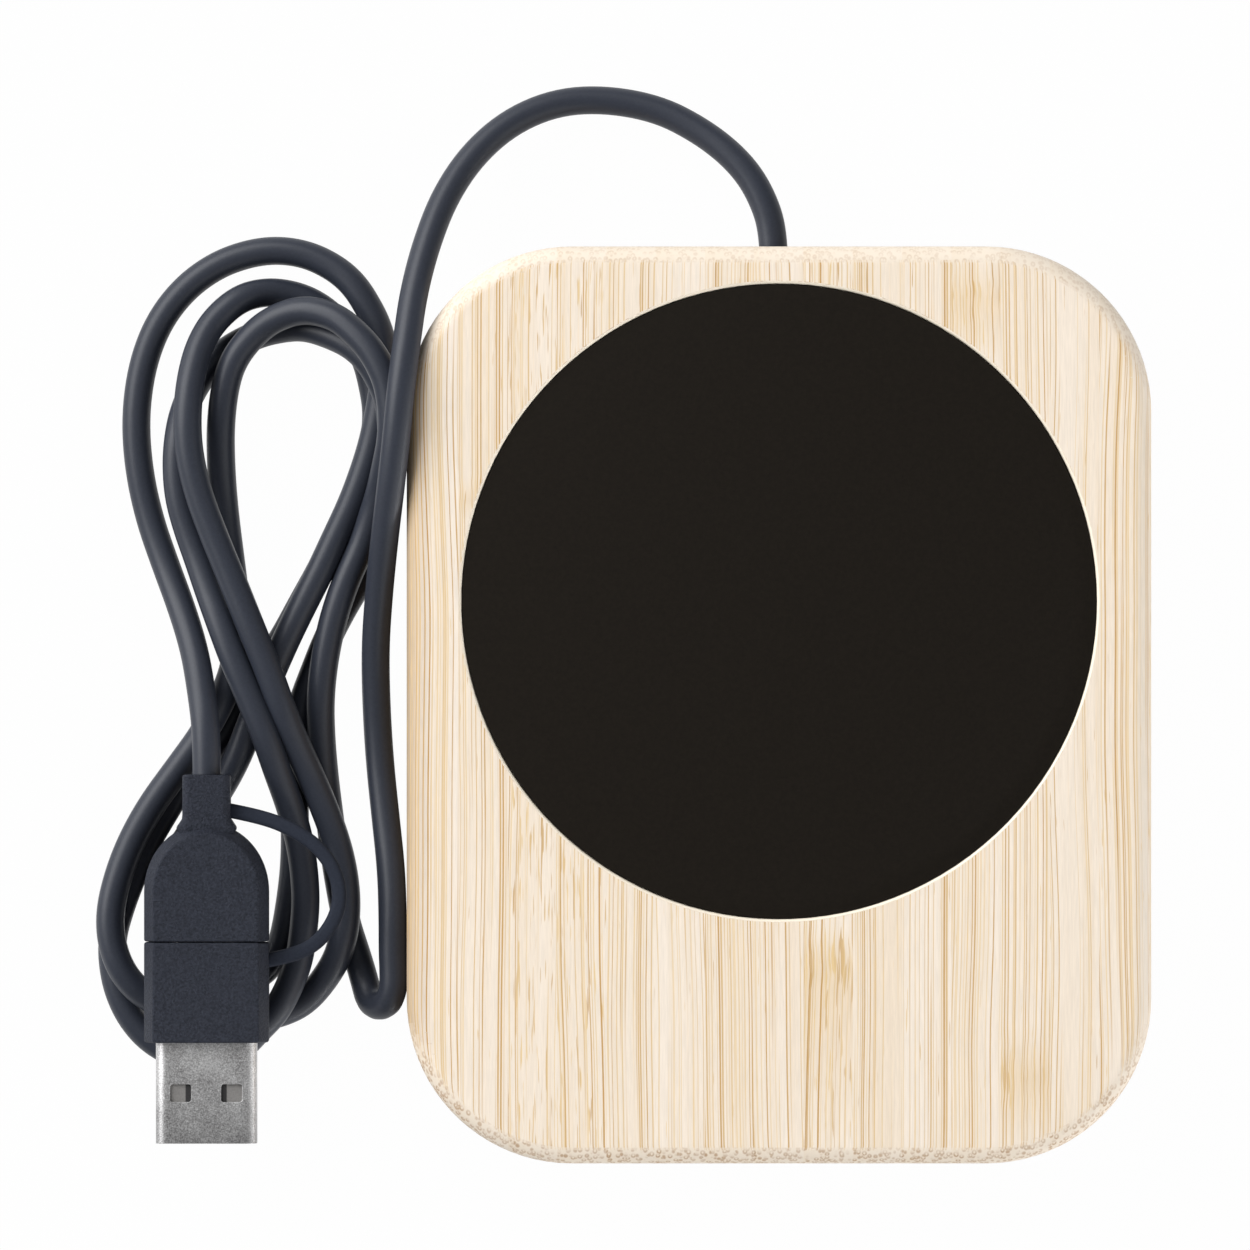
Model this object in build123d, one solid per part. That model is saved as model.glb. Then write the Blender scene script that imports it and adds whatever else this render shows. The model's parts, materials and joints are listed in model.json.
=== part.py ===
"""USB mug warmer: a bamboo block with a round heating plate, its cord and its plug.

Units are millimetres.  The origin is the bottom centre of the warmer, on the table.
+X is to the right, +Y runs from the front to the wall that the cord leaves, +Z is up.
Each sub-part is written to parts/NODE.step.
"""
from build123d import *
import math
import os

# ---- wooden block -------------------------------------------------------
block_width = 88.5
block_length = 109.0
block_height = 12.8
block_corner_radius = 19.6
block_top_edge_radius = 2.3
block_bottom_edge_radius = 1.5
pocket_rim_chamfer = 0.35

# ---- feet and bottom cover ----------------------------------------------
foot_standoff = 1.2
foot_diameter = 10.0
foot_seat_depth = 0.6
foot_edge_radius = 0.4
foot_inset_x = 10.0
foot_inset_y = 19.5
cover_margin = 4.0
cover_corner_radius = 15.6
cover_thickness = 1.5
cover_gap = 0.2

# ---- heating plate and what presses on it -------------------------------
plate_side_margin = 6.75
plate_rear_margin = 4.7
plate_thickness = 2.0
plate_edge_chamfer = 0.3
plate_recess = 0.3
plate_side_gap = 0.25
seal_thickness = 0.5
seal_width = 5.0
ledge_width = 6.5
ledge_thickness = 2.9
cavity_step = 1.5
foil_margin = 2.0
foil_thickness = 0.3
felt_gap = 1.0
retainer_gap = 1.0
retainer_thickness = 0.8
retainer_screw_count = 4
retainer_first_screw_angle = 45.0
lead_hole_diameter = 5.0
heater_lead_hole_y = -6.0
sensor_hole_x = 12.0

# ---- screws ------------------------------------------------------------
retainer_screw_diameter = 2.0
retainer_screw_head = 3.8
retainer_screw_head_height = 1.1
retainer_screw_bite = 2.2
cover_screw_diameter = 2.2
cover_screw_head = 4.6
cover_screw_head_height = 1.0
cover_screw_bite = 7.0
cover_screw_inset = 8.0
board_screw_diameter = 1.6
board_screw_head = 3.0
board_screw_head_height = 0.9
board_screw_bite = 1.5
screw_clearance = 0.1
slot_width = 0.5
slot_depth = 0.4

# ---- electronics --------------------------------------------------------
board_width = 40.0
board_length = 18.0
board_thickness = 1.2
board_front_margin = 11.0
board_standoff = 1.2
board_boss_diameter = 5.0
board_hole_inset = 3.0
board_pocket_margin = 3.0
lead_passage = 4.2
board_pocket_corner = 3.0
heater_switch_size = (6.5, 6.0, 2.1)
heater_switch_place = (-8.0, -4.0)
controller_size = (5.0, 4.0, 1.5)
controller_place = (2.5, -3.5)
regulator_size = (4.5, 4.0, 1.6)
regulator_place = (9.5, -4.5)
choke_size = (4.0, 4.0, 2.1)
choke_place = (-1.5, 3.0)
choke_corner = 0.8
chip_size = (1.6, 0.8, 0.6)
chip_places = [(4.0, 2.4), (6.6, 2.4), (9.2, 2.4)]
thermistor_diameter = 3.2
thermistor_height = 1.6
fuse_diameter = 3.0
fuse_length = 9.0
fuse_tail = 3.0
fuse_x = -15.0
fuse_offset_y = 3.7
clip_thickness = 0.4
clip_width = 4.0
clip_foot = 2.5
lead_diameter = 1.2
sensor_lead_diameter = 0.9
lead_pad_inset = 2.0
# bends of the supply leads, first from the end of the jacket, then from the board's edge
supply_spread = 0.75
supply_bends = [(0.0, -3.0, 0.0), (-1.4, -10.0, -1.0), (-4.0, -22.0, -1.4)]
supply_board_bends = [(-8.0, 13.0, -1.0), (-11.0, 3.0, 1.2)]
# bends of the heater and sensor leads, from where they leave the retaining plate
heater_spread = 0.9
heater_bends = [(0.0, 0.0, -1.2), (0.0, -3.6, -2.4), (1.2, -11.0, -2.6)]
sensor_spread = 0.6
sensor_bends = [(0.0, 0.0, -1.2), (-0.2, -3.4, -2.2), (-1.4, -14.0, -2.4)]
board_approach = 4.0
board_approach_height = 1.1

# ---- cord ----------------------------------------------------------------
cord_diameter = 3.4
cord_exit_x = -0.6
cord_exit_z = 5.5
grommet_diameter = 5.0
grommet_flange_width = 9.0
grommet_flange_height = 5.2
grommet_flange_thickness = 1.2
grommet_flange_corner = 1.5
crimp_diameter = 4.6
crimp_length = 3.0
cord_inner_length = 15.0
cord_bore_gap = 0.05
hank_floor_gap = 0.05

# ---- plug at the end of the cord -------------------------------------------
plug_x = -68.05
plug_z = 10.9
plug_width = 14.8
plug_thickness = 7.6
plug_edge_radius = 1.1
plug_seam_y = -28.1
plug_seam_gap = 0.1
plug_straight_length = 6.1
neck_overlap = 2.0
neck_start_y = -8.3
neck_width = 5.9
neck_thickness = 5.4
neck_corner_radius = 1.2
usb_c_width = 8.25
usb_c_height = 2.4
usb_c_wall = 0.3
usb_c_reach = 6.5
usb_c_root = 4.0
usb_c_core_length = 5.0
usb_c_tail_length = 2.5
receptacle_gap = 0.08
receptacle_wall = 0.3
receptacle_base = 0.6
tongue_width = 6.6
tongue_thickness = 0.65
tongue_length = 4.4
adapter_length = 11.9
adapter_board_width = 10.0
adapter_board_thickness = 0.8
usb_a_width = 12.0
usb_a_height = 4.5
usb_a_wall = 0.3
usb_a_reach = 12.0
usb_a_root = 2.8
usb_a_corner_radius = 0.4
usb_a_window_width = 2.5
usb_a_window_length = 2.1
usb_a_window_x = 3.03
usb_a_window_setback = 6.0
usb_a_insulator_height = 1.9
usb_a_contact_width = 1.0
usb_a_contact_thickness = 0.2
usb_a_contact_length = 8.0
usb_a_contact_xs = [-3.5, -1.0, 1.0, 3.5]
strap_width = 1.7
strap_thickness = 1.5

# ---- heights that follow ---------------------------------------------------
wood_bottom = foot_standoff
wood_top = wood_bottom + block_height
rear_wall_y = block_length / 2
front_wall_y = -block_length / 2
cover_width = block_width - 2 * cover_margin
cover_length = block_length - 2 * cover_margin
plate_diameter = block_width - 2 * plate_side_margin
plate_offset_y = rear_wall_y - plate_rear_margin - plate_diameter / 2
ledge_bore_diameter = plate_diameter - 2 * ledge_width
cavity_diameter = plate_diameter - 2 * cavity_step
foil_diameter = ledge_bore_diameter - 2 * foil_margin
felt_diameter = ledge_bore_diameter - 2 * felt_gap
retainer_diameter = cavity_diameter - 2 * retainer_gap
retainer_screw_circle = (ledge_bore_diameter + retainer_diameter) / 2
plate_top = wood_top - plate_recess
plate_bottom = plate_top - plate_thickness
ledge_top = plate_bottom - seal_thickness
web_bottom = ledge_top - ledge_thickness
foil_bottom = plate_bottom - foil_thickness
retainer_bottom = web_bottom - retainer_thickness
cover_top = wood_bottom + cover_thickness
board_bottom = cover_top + board_standoff
board_top = board_bottom + board_thickness
board_y = front_wall_y + board_front_margin + board_length / 2
board_back_y = board_y + board_length / 2
board_hole_x = board_width / 2 - board_hole_inset
fuse_y = plate_offset_y + fuse_offset_y
cavity_back_y = plate_offset_y + cavity_diameter / 2
grommet_seat_y = cavity_back_y + grommet_flange_thickness
adapter_start_y = plug_seam_y - plug_seam_gap
adapter_end_y = adapter_start_y - adapter_length
usb_a_back_y = adapter_end_y + usb_a_root
receptacle_depth = usb_c_reach + 2 * receptacle_gap

# ---- the cord's route: hand-chosen points ----------------------------------
# From the rear wall, round the corner of the block, up on to the hank and down
# along its right side to the fold at the bottom.
cord_route = [
    (cord_exit_x, rear_wall_y, cord_exit_z),
    (cord_exit_x, 57.25, cord_exit_z),
    (-1.3, 60.2, 5.35),
    (-2.8, 63.2, 4.9),
    (-5.5, 66.1, 4.2),
    (-9.3, 68.45, 3.2),
    (-14.2, 71.2, 2.3),
    (-20.4, 72.4, 1.9),
    (-26.3, 72.1, 2.2),
    (-31.8, 69.8, 3.3),
    (-36.3, 65.9, 5.0),
    (-39.7, 60.8, 7.3),
    (-41.9, 55.0, 9.9),
    (-43.4, 49.1, 12.3),
    (-44.2, 43.2, 14.1),
    (-44.9, 37.6, 15.0),
    (-45.4, 32.0, 14.8),
    (-46.1, 26.0, 13.5),
    (-46.9, 19.8, 11.2),
    (-47.6, 13.4, 8.6),
    (-48.1, 6.8, 6.2),
    (-48.0, 0.0, 4.5),
    (-47.6, -6.8, 3.9),
    (-46.9, -13.4, 4.6),
    (-46.2, -19.6, 5.9),
    (-46.0, -25.0, 7.0),
    (-46.0, -29.5, 7.0),
]
# From under the hank's upper end, round its left side and up to the plug's neck.
plug_end_route = [
    (-50.5, 50.0, 3.6),
    (-52.8, 52.1, 3.0),
    (-56.15, 53.8, 2.4),
    (-59.9, 54.4, 2.0),
    (-63.6, 53.9, 1.8),
    (-67.5, 52.4, 1.75),
    (-71.2, 49.6, 1.8),
    (-74.2, 45.6, 1.8),
    (-76.1, 40.5, 1.75),
    (-76.9, 34.4, 1.8),
    (-76.5, 28.2, 1.8),
    (-75.2, 22.2, 1.9),
    (-73.2, 16.6, 2.8),
    (-71.2, 11.4, 4.6),
    (-69.6, 6.4, 6.9),
    (-68.7, 1.4, 9.3),
    (plug_x, -3.4, plug_z),
    (plug_x, neck_start_y, plug_z),
]
# The tether between the neck and the adapter, seen from above.
strap_route = [
    (plug_x + neck_width / 2, -12.4),
    (-61.4, -13.3),
    (-57.6, -14.9),
    (-54.4, -17.2),
    (-52.4, -20.5),
    (-52.2, -24.2),
    (-54.2, -27.8),
    (-57.4, -29.8),
    (plug_x + plug_width / 2, -30.4),
]

# ---- the hank: outlines of its layers, hand-chosen, seen from above ----------
hank_layer_tops = [6.8, 10.1, 12.6]
# the turns that lie on the table and those that cross them
hank_turns = [
    (-44.7, 38.0), (-44.9, 28.4), (-46.4, 22.6), (-48.9, 16.5), (-51.4, 8.3),
    (-52.7, -1.8), (-51.9, -11.3), (-50.3, -19.6), (-49.6, -26.5), (-51.4, -32.6),
    (-55.7, -36.8), (-59.4, -38.4), (-62.9, -42.0), (-67.0, -43.6), (-72.0, -42.7),
    (-77.1, -38.6), (-80.2, -32.4), (-81.0, -25.5), (-79.2, -17.2), (-75.9, -10.9),
    (-70.4, -3.0), (-67.0, 5.0), (-70.4, 16.0), (-72.9, 26.0), (-72.2, 34.8),
    (-71.2, 41.0), (-68.8, 46.0), (-65.2, 49.4), (-60.4, 50.5), (-55.2, 49.3),
    (-50.6, 47.5), (-47.3, 46.4), (-45.3, 42.8),
]
# the arch at the upper end with the leg that crosses the waist
hank_arch = [
    (-45.4, 37.6), (-45.7, 30.6), (-46.6, 27.6), (-48.5, 29.6), (-48.4, 34.6),
    (-50.2, 41.2), (-54.0, 44.8), (-58.8, 45.9), (-63.2, 43.0), (-66.4, 36.8),
    (-67.4, 30.6), (-65.4, 22.2), (-62.0, 12.4), (-58.6, 3.6), (-56.8, -4.6),
    (-58.8, -7.2), (-62.0, -0.8), (-65.4, 8.4), (-69.2, 19.2), (-71.3, 30.0),
    (-70.3, 40.4), (-68.0, 45.2), (-64.6, 48.4), (-60.4, 49.5), (-55.6, 48.3),
    (-51.0, 45.8), (-47.6, 42.4),
]
# the turn that climbs under the incoming cord
hank_crown = [
    (-46.1, 37.6), (-46.3, 34.2), (-47.4, 33.6), (-47.9, 36.8), (-50.0, 41.4),
    (-52.4, 43.8), (-51.6, 45.4), (-48.9, 43.6), (-47.0, 41.0),
]
# see-through openings between the turns
hank_openings = [
    [(-61.0, 42.8), (-56.4, 43.3), (-51.5, 41.0), (-49.6, 36.0), (-50.7, 29.1),
     (-54.5, 20.1), (-60.3, 8.1), (-64.0, 16.1), (-67.0, 23.2), (-64.8, 32.7),
     (-63.7, 39.2)],
    [(-52.3, 17.0), (-54.4, 12.6), (-56.8, 7.6), (-58.7, 3.9), (-58.0, 1.6),
     (-56.2, 4.6), (-54.7, 8.1), (-53.0, 12.6)],
    [(-62.6, -6.3), (-60.7, -11.0), (-59.2, -17.2), (-59.7, -24.3), (-61.9, -29.1),
     (-65.8, -31.7), (-70.0, -30.3), (-71.5, -25.5), (-70.3, -19.6), (-67.3, -13.0)],
    [(-73.9, -18.9), (-76.1, -22.9), (-77.2, -26.7), (-76.4, -30.9), (-74.5, -33.2),
     (-74.7, -29.7), (-75.1, -26.1), (-74.7, -22.5)],
]
# the folded end beside the block, where the incoming cord turns back
fold_left = -51.0
fold_right = -44.6
fold_back = -29.5
fold_front = -37.4
fold_top = 8.8


def boxed(x0, x1, y0, y1, z0, z1):
    """A box between two corners."""
    return Pos((x0 + x1) / 2, (y0 + y1) / 2, (z0 + z1) / 2) * Box(x1 - x0, y1 - y0, z1 - z0)


def disc(diameter, z0, z1, x=0.0, y=0.0):
    """An upright cylinder between two heights."""
    return Pos(x, y, (z0 + z1) / 2) * Cylinder(diameter / 2, z1 - z0)


def rounded_slab(width, length, corner, z0, z1):
    """A rounded rectangle centred on the origin, between two heights."""
    return extrude(Pos(0, 0, z0) * RectangleRounded(width, length, corner), z1 - z0)


def along_y(width, height, corner, y0, y1, x=plug_x, z=plug_z):
    """A bar of rounded-rectangle section that runs along Y."""
    plane = Plane(origin=(x, y1, z), x_dir=(1, 0, 0), z_dir=(0, -1, 0))
    return extrude(plane * RectangleRounded(width, height, corner), y1 - y0)


def pill_y(width, height, y0, y1):
    """A bar along Y whose section has fully round ends."""
    return along_y(width, height, height / 2 - 0.001, y0, y1)


def foot_centres():
    x = cover_width / 2 - foot_inset_x
    y = cover_length / 2 - foot_inset_y
    return [(sx * x, sy * y) for sx in (-1, 1) for sy in (-1, 1)]


def cover_screw_centres():
    x = cover_width / 2 - cover_screw_inset
    y = cover_length / 2 - cover_screw_inset
    return [(sx * x, sy * y) for sx in (-1, 1) for sy in (-1, 1)]


def retainer_screw_centres():
    step = 360.0 / retainer_screw_count
    angles = [math.radians(retainer_first_screw_angle + step * k) for k in range(retainer_screw_count)]
    radius = retainer_screw_circle / 2
    return [(radius * math.cos(a), plate_offset_y + radius * math.sin(a)) for a in angles]


def board_screw_centres():
    return [(-board_hole_x, board_y), (board_hole_x, board_y)]


def heater_lead_hole():
    return (cord_exit_x, plate_offset_y + heater_lead_hole_y)


def sensor_hole():
    return (sensor_hole_x, plate_offset_y)


def screw(x, y, seat_z, up, diameter, head, head_height, bite):
    """A slotted pan-head screw; up is +1 when its point is above its seat."""
    shank_end = seat_z + up * bite
    head_end = seat_z - up * head_height
    body = disc(diameter, min(seat_z, shank_end), max(seat_z, shank_end), x, y)
    cap = disc(head, min(seat_z, head_end), max(seat_z, head_end), x, y)
    cap = chamfer(cap.edges().filter_by(GeomType.CIRCLE).sort_by(Axis.Z)[0 if up > 0 else -1], 0.2)
    slot_far = head_end + up * slot_depth
    slot = boxed(x - head, x + head, y - slot_width / 2, y + slot_width / 2,
                 min(head_end, slot_far), max(head_end, slot_far))
    return body + (cap - slot)


def wood_block():
    block = rounded_slab(block_width, block_length, block_corner_radius, wood_bottom, wood_top)
    block = fillet(block.faces().sort_by(Axis.Z)[-1].edges(), block_top_edge_radius)
    block = fillet(block.faces().sort_by(Axis.Z)[0].edges(), block_bottom_edge_radius)
    pocket = plate_diameter + 2 * plate_side_gap
    block -= disc(pocket, ledge_top, wood_top, y=plate_offset_y)
    rim = [e for e in block.edges().filter_by(GeomType.CIRCLE)
           if abs(e.center().Z - wood_top) < 0.01 and abs(e.radius - pocket / 2) < 0.01]
    block = chamfer(rim, pocket_rim_chamfer)
    block -= disc(ledge_bore_diameter, web_bottom, ledge_top, y=plate_offset_y)
    block -= disc(cavity_diameter, cover_top, web_bottom, y=plate_offset_y)
    block -= rounded_slab(cover_width + 2 * cover_gap, cover_length + 2 * cover_gap,
                          cover_corner_radius + cover_gap, wood_bottom, cover_top)
    pocket_width = board_width + 2 * board_pocket_margin
    pocket_front = board_y - board_length / 2 - board_pocket_margin
    pocket_back = max(board_back_y + board_pocket_margin,
                      plate_offset_y - cavity_diameter / 2) + lead_passage
    hollow = rounded_slab(pocket_width, pocket_back - pocket_front, board_pocket_corner,
                          cover_top, web_bottom)
    block -= Pos(0, (pocket_front + pocket_back) / 2, 0) * hollow
    block -= cord_bar(plate_offset_y, rear_wall_y, grommet_diameter)
    block -= boxed(cord_exit_x - grommet_flange_width / 2 - cover_gap,
                   cord_exit_x + grommet_flange_width / 2 + cover_gap,
                   plate_offset_y, grommet_seat_y,
                   cord_exit_z - grommet_flange_height / 2 - screw_clearance,
                   cord_exit_z + grommet_flange_height / 2 + screw_clearance)
    for x, y in cover_screw_centres():
        block -= disc(cover_screw_diameter + screw_clearance, cover_top,
                      cover_top + cover_screw_bite, x, y)
    for x, y in retainer_screw_centres():
        block -= disc(retainer_screw_diameter + screw_clearance, web_bottom,
                      web_bottom + retainer_screw_bite, x, y)
    return block


def heating_plate():
    plate = disc(plate_diameter, plate_bottom, plate_top, y=plate_offset_y)
    return chamfer(plate.faces().sort_by(Axis.Z)[-1].edges(), plate_edge_chamfer)


def plate_seal():
    outer = plate_diameter - plate_edge_chamfer
    ring = disc(outer, ledge_top, plate_bottom, y=plate_offset_y)
    return ring - disc(outer - 2 * seal_width, ledge_top, plate_bottom, y=plate_offset_y)


def heater_foil():
    return disc(foil_diameter, foil_bottom, plate_bottom, y=plate_offset_y)


def insulation_felt():
    felt = disc(felt_diameter, web_bottom, foil_bottom, y=plate_offset_y)
    for x, y in (heater_lead_hole(), sensor_hole()):
        felt -= disc(lead_hole_diameter, web_bottom, foil_bottom, x, y)
    return felt


def retaining_plate():
    plate = disc(retainer_diameter, retainer_bottom, web_bottom, y=plate_offset_y)
    for x, y in retainer_screw_centres():
        plate -= disc(retainer_screw_diameter + screw_clearance, retainer_bottom, web_bottom, x, y)
    for x, y in (heater_lead_hole(), sensor_hole()):
        plate -= disc(lead_hole_diameter, retainer_bottom, web_bottom, x, y)
    notch_half = grommet_flange_width / 2 + 2 * cover_gap
    notch_front = rear_wall_y - cord_inner_length
    plate -= boxed(cord_exit_x - notch_half, cord_exit_x + notch_half, notch_front,
                   cavity_back_y, retainer_bottom, web_bottom)
    return plate


def bottom_cover():
    cover = rounded_slab(cover_width, cover_length, cover_corner_radius, wood_bottom, cover_top)
    for x, y in foot_centres():
        cover -= disc(foot_diameter + 2 * cover_gap, wood_bottom, wood_bottom + foot_seat_depth, x, y)
    for x, y in cover_screw_centres():
        cover -= disc(cover_screw_diameter + screw_clearance, wood_bottom, cover_top, x, y)
        cover -= disc(cover_screw_head + 2 * cover_gap, wood_bottom,
                      wood_bottom + cover_screw_head_height, x, y)
    for x, y in board_screw_centres():
        cover += disc(board_boss_diameter, cover_top, board_bottom, x, y)
        cover -= disc(board_screw_diameter + screw_clearance, board_bottom - board_screw_bite,
                      board_bottom, x, y)
    return cover


def rubber_foot(x, y):
    foot = disc(foot_diameter, 0, foot_standoff + foot_seat_depth, x, y)
    return fillet(foot.faces().sort_by(Axis.Z)[0].edges(), foot_edge_radius)


def control_board():
    board = boxed(-board_width / 2, board_width / 2, board_y - board_length / 2, board_back_y,
                  board_bottom, board_top)
    board = fillet(board.edges().filter_by(Axis.Z), 1.0)
    for x, y in board_screw_centres():
        board -= disc(board_screw_diameter + screw_clearance, board_bottom, board_top, x, y)
    return board


def on_board(place, size):
    """A component soldered to the top of the board, at a place on the board."""
    x, y = place
    width, length, height = size
    return boxed(x - width / 2, x + width / 2, board_y + y - length / 2, board_y + y + length / 2,
                 board_top, board_top + height)


def board_components():
    choke = fillet(on_board(choke_place, choke_size).edges().filter_by(Axis.Z), choke_corner)
    return [
        on_board(heater_switch_place, heater_switch_size),
        on_board(controller_place, controller_size),
        on_board(regulator_place, regulator_size),
        choke,
    ] + [on_board(place, chip_size) for place in chip_places]


def thermistor():
    x, y = sensor_hole()
    bead = disc(thermistor_diameter, foil_bottom - thermistor_height, foil_bottom, x, y)
    return fillet(bead.faces().sort_by(Axis.Z)[0].edges(), 0.4)


def thermal_fuse():
    z = retainer_bottom - fuse_diameter / 2
    plane = Plane(origin=(fuse_x, fuse_y - fuse_length / 2, z), x_dir=(1, 0, 0), z_dir=(0, 1, 0))
    body = extrude(plane * Circle(fuse_diameter / 2), fuse_length)
    tail_plane = Plane(origin=(fuse_x, fuse_y - fuse_length / 2 - fuse_tail, z), x_dir=(1, 0, 0), z_dir=(0, 1, 0))
    tails = extrude(tail_plane * Circle(lead_diameter / 3), fuse_length + 2 * fuse_tail)
    return body + tails


def fuse_clip():
    """A bent strip under the fuse, its two ends flat against the retaining plate."""
    z = retainer_bottom - fuse_diameter / 2
    inner = fuse_diameter / 2 + cord_bore_gap
    outer = inner + clip_thickness
    y0 = fuse_y - clip_width / 2
    y1 = fuse_y + clip_width / 2
    plane = Plane(origin=(fuse_x, y0, z), x_dir=(1, 0, 0), z_dir=(0, 1, 0))
    clip = extrude(plane * Circle(outer), clip_width)
    clip += boxed(fuse_x - outer, fuse_x + outer, y0, y1, z, retainer_bottom)
    clip += boxed(fuse_x - outer - clip_foot, fuse_x + outer + clip_foot, y0, y1,
                  retainer_bottom - clip_thickness, retainer_bottom)
    clip -= extrude(plane * Circle(inner), clip_width)
    clip -= boxed(fuse_x - inner, fuse_x + inner, y0, y1, z, retainer_bottom)
    return clip - boxed(fuse_x - outer, fuse_x + outer, y0, y1, retainer_bottom, retainer_bottom + outer)


def tube(points, diameter, radii=None):
    """A round tube along straight runs joined by tangent arcs."""
    radii = radii or corner_radii(points)
    path = FilletPolyline(*points, radius=radii)
    start = Vector(*points[0])
    section = Plane(origin=start, z_dir=Vector(*points[1]) - start) * Circle(diameter / 2)
    return sweep(section, path=path)


def corner_radii(points):
    """The largest arc at each corner that its two runs allow."""
    radii = []
    for before, here, after in zip(points, points[1:], points[2:]):
        run_in = Vector(*here) - Vector(*before)
        run_out = Vector(*after) - Vector(*here)
        half_turn = math.radians(run_in.get_angle(run_out) / 2)
        radii.append(0.45 * min(run_in.length, run_out.length) / math.tan(half_turn))
    return radii


def run_length(points, radii):
    """Length of the runs with their corners rounded."""
    total = sum((Vector(*b) - Vector(*a)).length for a, b in zip(points, points[1:]))
    for before, here, after, radius in zip(points, points[1:], points[2:], radii):
        turn = math.radians((Vector(*here) - Vector(*before)).get_angle(Vector(*after) - Vector(*here)))
        total -= radius * (2 * math.tan(turn / 2) - turn)
    return total


def report_tube(name, points, solid, diameter):
    radii = corner_radii(points)
    length = run_length(points, radii)
    expected = length * math.pi * diameter ** 2 / 4
    print(name, "length", round(length, 1), "volume ratio", round(solid.volume / expected, 4))
    print(name, "radii", [round(r, 1) for r in radii])


def cord_bar(y0, y1, diameter):
    """A round bar on the cord's line through the rear wall."""
    plane = Plane(origin=(cord_exit_x, y0, cord_exit_z), x_dir=(1, 0, 0), z_dir=(0, 1, 0))
    return extrude(plane * Circle(diameter / 2), y1 - y0)


def cord_grommet():
    flange_seat_y = grommet_seat_y
    flange_front_y = cavity_back_y
    sleeve = cord_bar(flange_seat_y, rear_wall_y, grommet_diameter - 2 * cord_bore_gap)
    flange = boxed(cord_exit_x - grommet_flange_width / 2, cord_exit_x + grommet_flange_width / 2,
                   flange_front_y, flange_seat_y,
                   cord_exit_z - grommet_flange_height / 2, cord_exit_z + grommet_flange_height / 2)
    flange = fillet(flange.edges().filter_by(Axis.Y), grommet_flange_corner)
    return sleeve + flange - cord_bar(flange_front_y, rear_wall_y, cord_diameter + 2 * cord_bore_gap)


def cord_crimp():
    back = cavity_back_y
    ring = cord_bar(back - crimp_length, back, crimp_diameter)
    return ring - cord_bar(back - crimp_length, back, cord_diameter + 2 * cord_bore_gap)


def cord_inner():
    return cord_bar(rear_wall_y - cord_inner_length, rear_wall_y, cord_diameter)


def moved(points, x, y, z):
    """Points given from a place, in the part's own frame."""
    return [(x + dx, y + dy, z + dz) for dx, dy, dz in points]


def supply_lead(side):
    """One conductor from the end of the jacket to the board; side is -1 or +1."""
    x = cord_exit_x + side * supply_spread
    jacket_end = rear_wall_y - cord_inner_length
    near_board = moved(supply_board_bends, 2 * x, board_back_y, board_top)
    pad_x = near_board[-1][0]
    return ([(x, jacket_end, cord_exit_z)] + moved(supply_bends, x, jacket_end, cord_exit_z)
            + near_board + [(pad_x, board_back_y - lead_pad_inset, board_top + lead_diameter / 2)])


def plate_lead(hole, spread, start_z, bends, diameter):
    """One wire from under the plate, through the felt, to the board."""
    x = hole[0] + spread
    y = hole[1]
    drop = moved(bends, x, y, retainer_bottom)
    pad_x = drop[-1][0]
    return ([(x, y, start_z)] + drop
            + [(pad_x + diameter / 2, board_back_y + board_approach, board_top + board_approach_height),
               (pad_x, board_back_y - lead_pad_inset, board_top + diameter / 2)])


def heater_lead(side):
    return plate_lead(heater_lead_hole(), side * heater_spread, foil_bottom, heater_bends, lead_diameter)


def sensor_lead(side):
    return plate_lead(sensor_hole(), side * sensor_spread, foil_bottom - thermistor_height,
                      sensor_bends, sensor_lead_diameter)


def hank_layer(outline, z0, z1):
    """A slab whose edge runs through the outline's points with every corner rounded."""
    radii = corner_radii([outline[-1]] + outline + [outline[0]])
    edge = FilletPolyline(*outline, radius=radii, close=True)
    return extrude(Pos(0, 0, z0) * make_face(edge), z1 - z0)


def folded_end():
    """The tight fold, with a flat back face that the incoming cord meets."""
    radius = (fold_right - fold_left) / 2
    middle = (fold_left + fold_right) / 2
    fold = boxed(fold_left, fold_right, fold_front + radius, fold_back, hank_floor_gap, fold_top)
    return fold + disc(2 * radius, hank_floor_gap, fold_top, middle, fold_front + radius)


def plug_end_root():
    """The last of the hank's turns, whose flat end the plug's stretch of cord meets."""
    start = Vector(*plug_end_route[0])
    heading = (Vector(*plug_end_route[1]) - start).normalized()
    return extrude(Plane(origin=start, z_dir=heading) * Circle(cord_diameter / 2), -2 * cord_diameter)


def cord_hank():
    hank = None
    floor = hank_floor_gap
    for outline, top in zip([hank_turns, hank_arch, hank_crown], hank_layer_tops):
        layer = hank_layer(outline, floor, top)
        hank = layer if hank is None else hank + layer
        floor = top - 0.5
    for opening in hank_openings:
        hank -= hank_layer(opening, 0, hank_layer_tops[-1])
    return hank + folded_end() + plug_end_root()


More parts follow.
